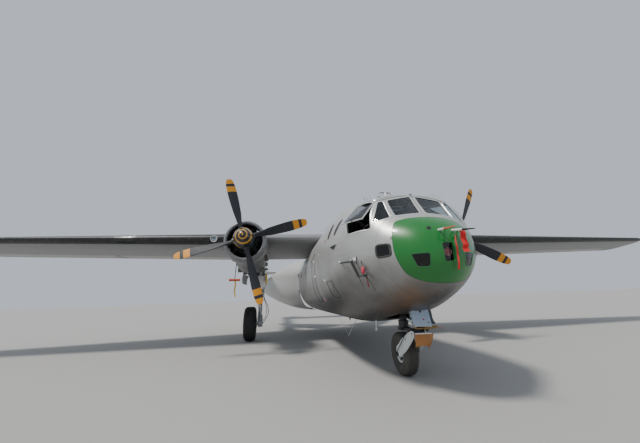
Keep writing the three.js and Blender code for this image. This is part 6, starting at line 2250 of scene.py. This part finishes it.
def buildMasts():
    root = skinSpot(-1, noseStation(-9.83), 2.31, -0.005)
    corner = Vector((-1.322, -9.874, 2.266))
    rear = skinSpot(-1, noseStation(-9.40), 2.3, 0.012)
    elbow, end = Vector((-1.21, -9.9, 1.996)), Vector((-1.09, -9.83, 1.75))
    link = Vector((-1.125, -10.015, 1.986))
    dark = [tube([rear, rear.lerp(corner, 0.5) + Vector((-0.015, 0, 0)), corner], 0.016, 12, 6)]
    dark.append(bar(corner, elbow, 0.027, 0.024))
    dark.append(bar(elbow, elbow.lerp(end, 0.1), 0.024, 0.012))
    dark.append(bar(elbow, link, 0.014))
    dark.append(bar(link, link.lerp(skinSpot(-1, noseStation(-9.98), 2.0, -0.005), 0.98), 0.012))
    dark.append(bar(corner, root.lerp(corner, 0.1), 0.018))
    dark.append(bar(link, (-1.096, -10.044, 1.965), 0.013))
    dark.append(bar((-1.096, -10.044, 1.965), (-0.95, -10.063, 1.717), 0.009, 0.004))
    dark.append(bar(skinSpot(-1, noseStation(-9.95), 2.36), skinSpot(-1, noseStation(-9.94), 2.22, 0.04),
                    0.006))
    piece("mastArms", dark, "mastDark", "gear_steel", replaces="air_mast")
    piece("mastTube", bar(elbow.lerp(end, 0.08), end, 0.009, 0.005), "mastGreen", "gear_steel")
    plate = pane(fromSide(-1), outlineOf(((noseStation(-9.73), 2.27), (noseStation(-9.93), 2.28),
                                          (noseStation(-9.94), 2.35), (noseStation(-9.76), 2.31)), 0.015),
                 0.012, 0.02, 0.0, 3)
    knob = skinSpot(-1, noseStation(-9.325), 2.325, 0.012)
    stub = skinSpot(-1, noseStation(-9.325), 2.325, -0.01)
    whites = [plate, bar(stub, knob, 0.026, 0.02, 20),
              bar(stub, knob + (knob - stub) * 0.4, 0.01, sides=12)]
    for where, height in ((3.106, 2.042), (4.861, 2.746), (4.675, 2.258), (4.6, 2.26), (0.45, 2.6)):
        inner, outer = skinSpot(-1, where, height, -0.01), skinSpot(-1, where, height, 0.028)
        whites.append(bar(inner, outer, 0.026, 0.018, 18))
    piece("flankKnobs", whites, "whitePaint", "silver_skin", bevel=0.002)
    cover = lathe([(0.004, 0.075), (0.018, 0.06), (0.033, 0.02), (0.034, -0.02), (0.02, -0.06),
                   (0.004, -0.07)], (0, 0, 0), "z", 24)
    at = Vector((-1.16, -10.05, 2.085))
    piece("mastCover", moved(cover, Matrix.Translation(at)), "coverRed", "seat_cloth", sharp=60)
    wire = [bar((-1.162, -10.045, 2.14), skinSpot(-1, noseStation(-10.02), 2.26, 0.003), 0.006)]
    wire.append(bar((-1.155, -10.04, 2.02), link, 0.012))
    wire.append(bar(at, skinSpot(-1, noseStation(-10.0), 2.08, -0.005), 0.01))
    piece("mastStays", wire, "mastDark", "gear_steel")
    streamer("mastStreamer", details["mastStreamer"], "coverCloth", (0.5, 1, 0), 0.4)


def noseStation(y):
    return y - noseY


def buildMarks():
    oval = ovalOf(3.9, 2.65, 0.03, 0.2, 28)
    slot = pane(fromSide(-1), oval, 0.004, 0.01, 0.0, 2)
    triangle = outlineOf(((2.26, 2.75), (1.78, 2.735), (1.91, 2.635)), 0.02)
    vent = pane(fromSide(-1), triangle, 0.004, 0.01, 0.0, 3)
    # the slot and the vent are dark sheets on the skin: painted shade
    piece("flankVents", [slot, vent], "darkGap", "silver_skin")
    rims = [rim(fromSide(-1), oval, ((-0.002, -0.002), (-0.002, 0.009), (0.01, 0.008), (0.014, -0.002)))]
    rims.append(rim(fromSide(-1), triangle, ((-0.002, -0.002), (-0.002, 0.01), (0.01, 0.009),
                                             (0.014, -0.002))))
    piece("flankVentRims", rims, "frameMetal", "silver_skin", sharp=45)
    seams = []
    for side, corners in ((-1, ((4.68, 1.5), (4.68, 2.98), (5.42, 2.98), (5.42, 1.5))),
                          (1, ((5.9, 1.45), (5.9, 2.3), (6.6, 2.3), (6.6, 1.45))),
                          (-1, ((2.45, 1.62), (2.45, 2.0), (2.95, 2.0), (2.95, 1.62))),
                          (1, ((1.9, 1.8), (1.9, 2.2), (2.4, 2.2), (2.4, 1.8)))):
        line = onSkin(fromSide(side), outlineOf(corners, 0.07), 0.001)
        seams.append(tube(line + [line[0]], 0.005, 6))
    piece("hatchSeams", seams, "darkGap", "silver_skin")
    pinks = [badge(-1, noseStation(-6.764), 1.56, 0.16, 0.03), badge(-1, 4.17, 3.25, 0.05, 0.035),
             badge(-1, 4.77, 2.5, 0.012, 0.2)]
    piece("pinkMarks", pinks, "pinkMark", "silver_skin", sharp=60)
    reds = [badge(-1, 3.02, 3.045, 0.045, 0.045), badge(1, 3.02, 3.045, 0.045, 0.045),
            badge(1, 5.0, 2.2, 0.03, 0.03)]
    piece("redMarks", reds, "redPaint", "silver_skin", sharp=60)
    grips = []
    for side in (-1, 1):
        for where, height in ((4.85, 2.2), (6.2, 3.3)):
            ends = [skinSpot(side, where + d, height, 0.0) for d in (-0.07, 0.07)]
            out = [skinSpot(side, where + d, height, 0.035) for d in (-0.055, 0.055)]
            grips.append(tube([ends[0], out[0], out[1], ends[1]], 0.008, 8))
    piece("flankGrips", grips, "frameMetal", "silver_skin")


def roofSpot(x, where, lift=0.0):
    spot = fromAbove(x, where)
    return spot + podNormal(spot) * lift


def buildAerials():
    white, dark, metal = [], [], []
    foot = roofSpot(0, 2.28, -0.01)
    white.append(loft([ovalRing(foot, 0.07, 0.12), ovalRing(foot + Vector((0, 0, 0.1)), 0.045, 0.09),
                       ovalRing(foot + Vector((0, 0, 0.18)), 0.03, 0.07)]))
    top = foot + Vector((0, 0, 0.185))
    dark.append(loft([ovalRing(top + Vector((x, 0, z)), 0.004, 0.035) for x, z in
                      ((-0.17, -0.03), (-0.13, 0.0), (0.0, 0.006), (0.13, 0.0), (0.17, -0.03))]))
    hood = roofSpot(-0.35, 1.85, 0.0)
    dark.append(loft([ovalRing(hood + Vector((0, 0, d)), 0.06 - e, 0.13 - e) for d,
                      e in ((-0.06, 0.0), (0.012, 0.0), (0.03, 0.03))]))
    base = roofSpot(0, 3.6, -0.01)
    for lean in ((-0.12, 0.05, 0.46), (0.12, 0.05, 0.46), (-0.05, -0.1, 0.36)):
        dark.append(bar(base, base + Vector(lean), 0.007, 0.003))
    dark.append(bar(base, base + Vector((0, 0, 0.05)), 0.04, 0.02))
    mast = roofSpot(0, 4.7, -0.01)
    dark.append(loft([ovalRing(mast, 0.018, 0.09), ovalRing(mast + Vector((0, 0.16, 0.42)), 0.01, 0.035)]))
    dome = roofSpot(0, 5.75, -0.03)
    white.append(lathe([(0.22, 0.0), (0.215, 0.05), (0.18, 0.1), (0.12, 0.135), (0.05, 0.15),
                        (0.004, 0.152)], dome, "z", 36))
    wires = []
    for side in (-1, 1):
        start = mast + Vector((0, 0.16, 0.41))
        finish = point(side * engineX, 19.62, 5.35)
        line = []
        for k in range(17):
            t = k / 16
            line.append(start.lerp(finish, t) - Vector((0, 0, 0.35 * 4 * t * (1 - t))))
        wires.append(tube(line, 0.0035, 6))
    belly = Vector((-0.42, -6.0, 0.99))
    dark.append(bar(belly, belly + Vector((0, 0, -0.08)), 0.03, 0.016))
    metal.append(bar((-0.28, -6.35, 0.985), (-0.52, -6.1, 0.47), 0.007))
    metal.append(bar((-0.52, -6.1, 0.47), (-0.60, -5.2, 0.98), 0.005))
    blade = Vector((-0.27, -8.0, 1.12))
    metal.append(loft([ovalRing(blade, 0.014, 0.05),
                       ovalRing(blade + Vector((0, 0.02, -0.28)), 0.011, 0.035)]))
    metal.append(lathe([(0.004, -0.04), (0.022, -0.03), (0.03, 0.0), (0.022, 0.03), (0.004, 0.04)],
                       blade + Vector((0, 0.02, -0.3)), "z", 20))
    piece("aerialBases", white, "whitePaint", "grey_skin", bevel=0.004)
    piece("aerialDark", dark, "mastDark", "gear_steel")
    piece("bellyAerials", metal, "paleMetal", "gear_steel")
    piece("wireAerials", wires, "darkSteel", "gear_steel")
    gutter = []
    for side in (-1, 1):
        line = [fromAhead(side * x, z) for x, z in ((0.0, 3.585), (0.25, 3.575), (0.45, 3.535),
                                                    (0.6, 3.495), (0.74, 3.47))]
        line += [fromSide(side)(s, z) for s, z in ((1.1, 3.5), (1.4, 3.57), (1.75, 3.66), (2.0, 3.7))]
        points = [p + podNormal(p) * 0.008 for p in curveThrough(line, 5)]
        gutter.append(tube(points, 0.013, 8))
    rail = []
    for side in (-1, 1):
        a, b = fromAhead(side * 0.42, 3.6), fromAhead(side * 0.66, 3.53)
        rail.append(tube([a, a + podNormal(a) * 0.05, b + podNormal(b) * 0.05, b], 0.007, 8))
    piece("roofGutter", gutter, "brightMetal", "silver_skin")
    piece("roofRails", rail, "brightMetal", "silver_skin")
    lines = []
    for side in (-1, 1):
        line = [fromAhead(side * x, z) for x, z in ((0.0, 3.6), (0.25, 3.592), (0.45, 3.553), (0.6, 3.515),
                                                    (0.74, 3.49))]
        lines.append(tube([p + podNormal(p) * 0.004 for p in curveThrough(line, 5)], 0.007, 6))
    top = fromAhead(0.0, 3.6)
    lines.append(moved(lathe([(0.03, -0.01), (0.028, 0.02), (0.012, 0.035)], (0, 0, 0), "z", 20),
                       Matrix.Translation(top)))
    piece("roofSeal", lines, "mastDark", "silver_skin")


# a sheet that follows the wing's leading edge, counted in section points
def nosePatch(x0, x1, start, end, lift):
    rings = []
    for x in spread(x0, x1, 8):
        section = sectionOf(wingRow(abs(x)), wing["bow"], wing["steps"])
        middle = wing["steps"]
        part = section[middle + 1 - start:middle] + [section[middle]] + section[middle + 2:middle + 1 + end]
        centre = section[middle] + Vector((0, 0.45, -0.02))
        outer = [Vector((x, p.y, p.z)) + (p - centre).normalized() * lift for p in part]
        inner = [Vector((x, p.y, p.z)) - (p - centre).normalized() * 0.004 for p in reversed(part)]
        rings.append([Vector((x, p.y, p.z)) for p in outer + inner])
    return loft(rings)


def buildLights():
    x, y, z = details["tipLights"]
    for word, side, paint in (("Port", 1, "redLight"), ("Starboard", -1, "greenLight")):
        drop = lathe([(0.003, -0.11), (0.025, -0.09), (0.042, -0.04), (0.045, 0.0), (0.036, 0.06),
                      (0.02, 0.11), (0.003, 0.13)], (side * x, y, z), "y", 24)
        piece("tipLight" + word, drop, paint, "glazing", sharp=60)
        patch = nosePatch(side * 8.01, side * 8.72, 6, 6, 0.004)
        piece("landingLight" + word, patch, "paleGlass", "glazing", sharp=50)
        row = wingRow(5.15)
        spot = point(side * 5.15, row[1], row[2] - 0.03)
        lamp = [(0.1, 0.12), (0.128, 0.05), (0.135, -0.03), (0.13, -0.045), (0.115, -0.04), (0.07, -0.005),
                (0.004, 0.01)]
        piece("edgeLamp" + word, lathe(lamp, spot, "y", 36), "brightMetal", "glazing", sharp=50)
        glass = [(0.003, -0.055), (0.06, -0.05), (0.118, -0.034), (0.118, -0.026), (0.003, -0.04)]
        piece("edgeLampGlass" + word, lathe(glass, spot, "y", 36), "clearGlass", "glazing", sharp=60)
        stern = Vector((side * engineX, cadBox[1][1] - 0.02, boomStern()))
        tail = lathe([(0.03, -0.06), (0.032, 0.0), (0.026, 0.03), (0.012, 0.045), (0.002, 0.05)], stern,
                     "y", 20)
        piece("sternLight" + word, tail, "paleGlass", "glazing", sharp=60)
    for word, side in bothSides:
        wicks = []
        for x in (10.8, 12.4, 14.0, 15.1):
            row = wingRow(x)
            edge = Vector((side * x, noseY + row[1] + row[4], row[3]))
            wicks.append(bar(edge + Vector((0, -0.02, 0)), edge + Vector((0, 0.12, -0.01)), 0.004, 0.002,
                             6))
        piece("wingWicks" + word, wicks, "darkSteel", "gear_steel", "aileron_leaf_" + word.lower())


def boomStern():
    ring = boomRing(boomRows[-1][0] - 0.15)
    return sum(p.z for p in ring) / len(ring)


def buildRibbons():
    at = Vector((-4.3, -4.2, 2.36))
    sleeve = bar(at + Vector((-0.2, -0.05, 0.0)), at + Vector((0.2, 0.05, 0.0)), 0.045, 0.04, 24)
    piece("tubeCover", sleeve, "tubeOrange", "seat_cloth", bevel=0.006, sharp=50)
    piece("tubeStem", bar(at, at + Vector((0, 0.25, 0.62)), 0.014), "mastDark", "gear_steel")
    look = {"width": 0.05, "line": (at + Vector((0.02, 0, -0.04)), at + Vector((0.03, 0.03, -0.2)),
                                    at + Vector((0.0, 0.1, -0.4)), at + Vector((0.04, 0.12, -0.62)))}
    streamer("tubeStreamer", look, "yellowCloth", (1, 0.3, 0), 0.5)
    hook = Vector(details["doorStreamer"]["line"][0])
    pin = bar(hook + Vector((0.06, 0.012, 0.004)), hook + Vector((-0.05, 0.012, 0.004)), 0.013)
    piece("doorPin", pin, "redPaint", "gear_steel")
    streamer("doorStreamer", details["doorStreamer"], "yellowCloth", (1, 0.5, 0), 0.6)


addPaints({
    "capTrim": {"paint": (0.03, 0.16, 0.05), "rough": 0.35, "dirt": 0.1, "patches": 0.05},
    "mastGreen": {"paint": (0.09, 0.13, 0.1), "rough": 0.5, "dirt": 0.2, "patches": 0.1},
    "tubeOrange": {"paint": (0.55, 0.1, 0.03), "rough": 0.7, "dirt": 0.2, "patches": 0.12, "sheen": 0.2},
    "coverRed": {"paint": (0.55, 0.04, 0.09), "rough": 0.75, "dirt": 0.15, "patches": 0.12, "sheen": 0.3},
    "coverCloth": {
        "paint": (0.36, 0.01, 0.035), "rough": 0.85, "dirt": 0.15, "patches": 0.12, "sheen": 0.3,
    },
    "brightMetal": {
        "paint": (0.82, 0.83, 0.82), "rough": 0.18, "metal": 0.8, "dirt": 0.05, "patches": 0.03,
    },
})
glassMaterial("rosyGlass", (0.9, 0.45, 0.5), 0.05)
glassMaterial("paleGlass", (0.85, 0.9, 0.92), 0.08)
capLamps()
buildProbes()
buildMasts()
buildMarks()
buildAerials()
buildLights()
buildRibbons()
print("small parts built")


# Floor, not part of the object
def buildFloor(look):
    size = look["floorSize"] / 2
    mesh = bpy.data.meshes.new("studioFloor")
    mesh.from_pydata([(-size, -size, 0), (size, -size, 0), (size, size, 0), (-size, size, 0)], [],
                     [(0, 1, 2, 3)])
    floor = bpy.data.objects.new("studioFloor", mesh)
    bpy.context.scene.collection.objects.link(floor)
    material = bpy.data.materials.new("studioFloor")
    material.use_nodes = True
    shader = material.node_tree.nodes["Principled BSDF"]
    shader.inputs["Base Color"].default_value = look["floorColour"]
    shader.inputs["Roughness"].default_value = 0.85
    mesh.materials.append(material)


buildFloor(studio)
print("scene ready")
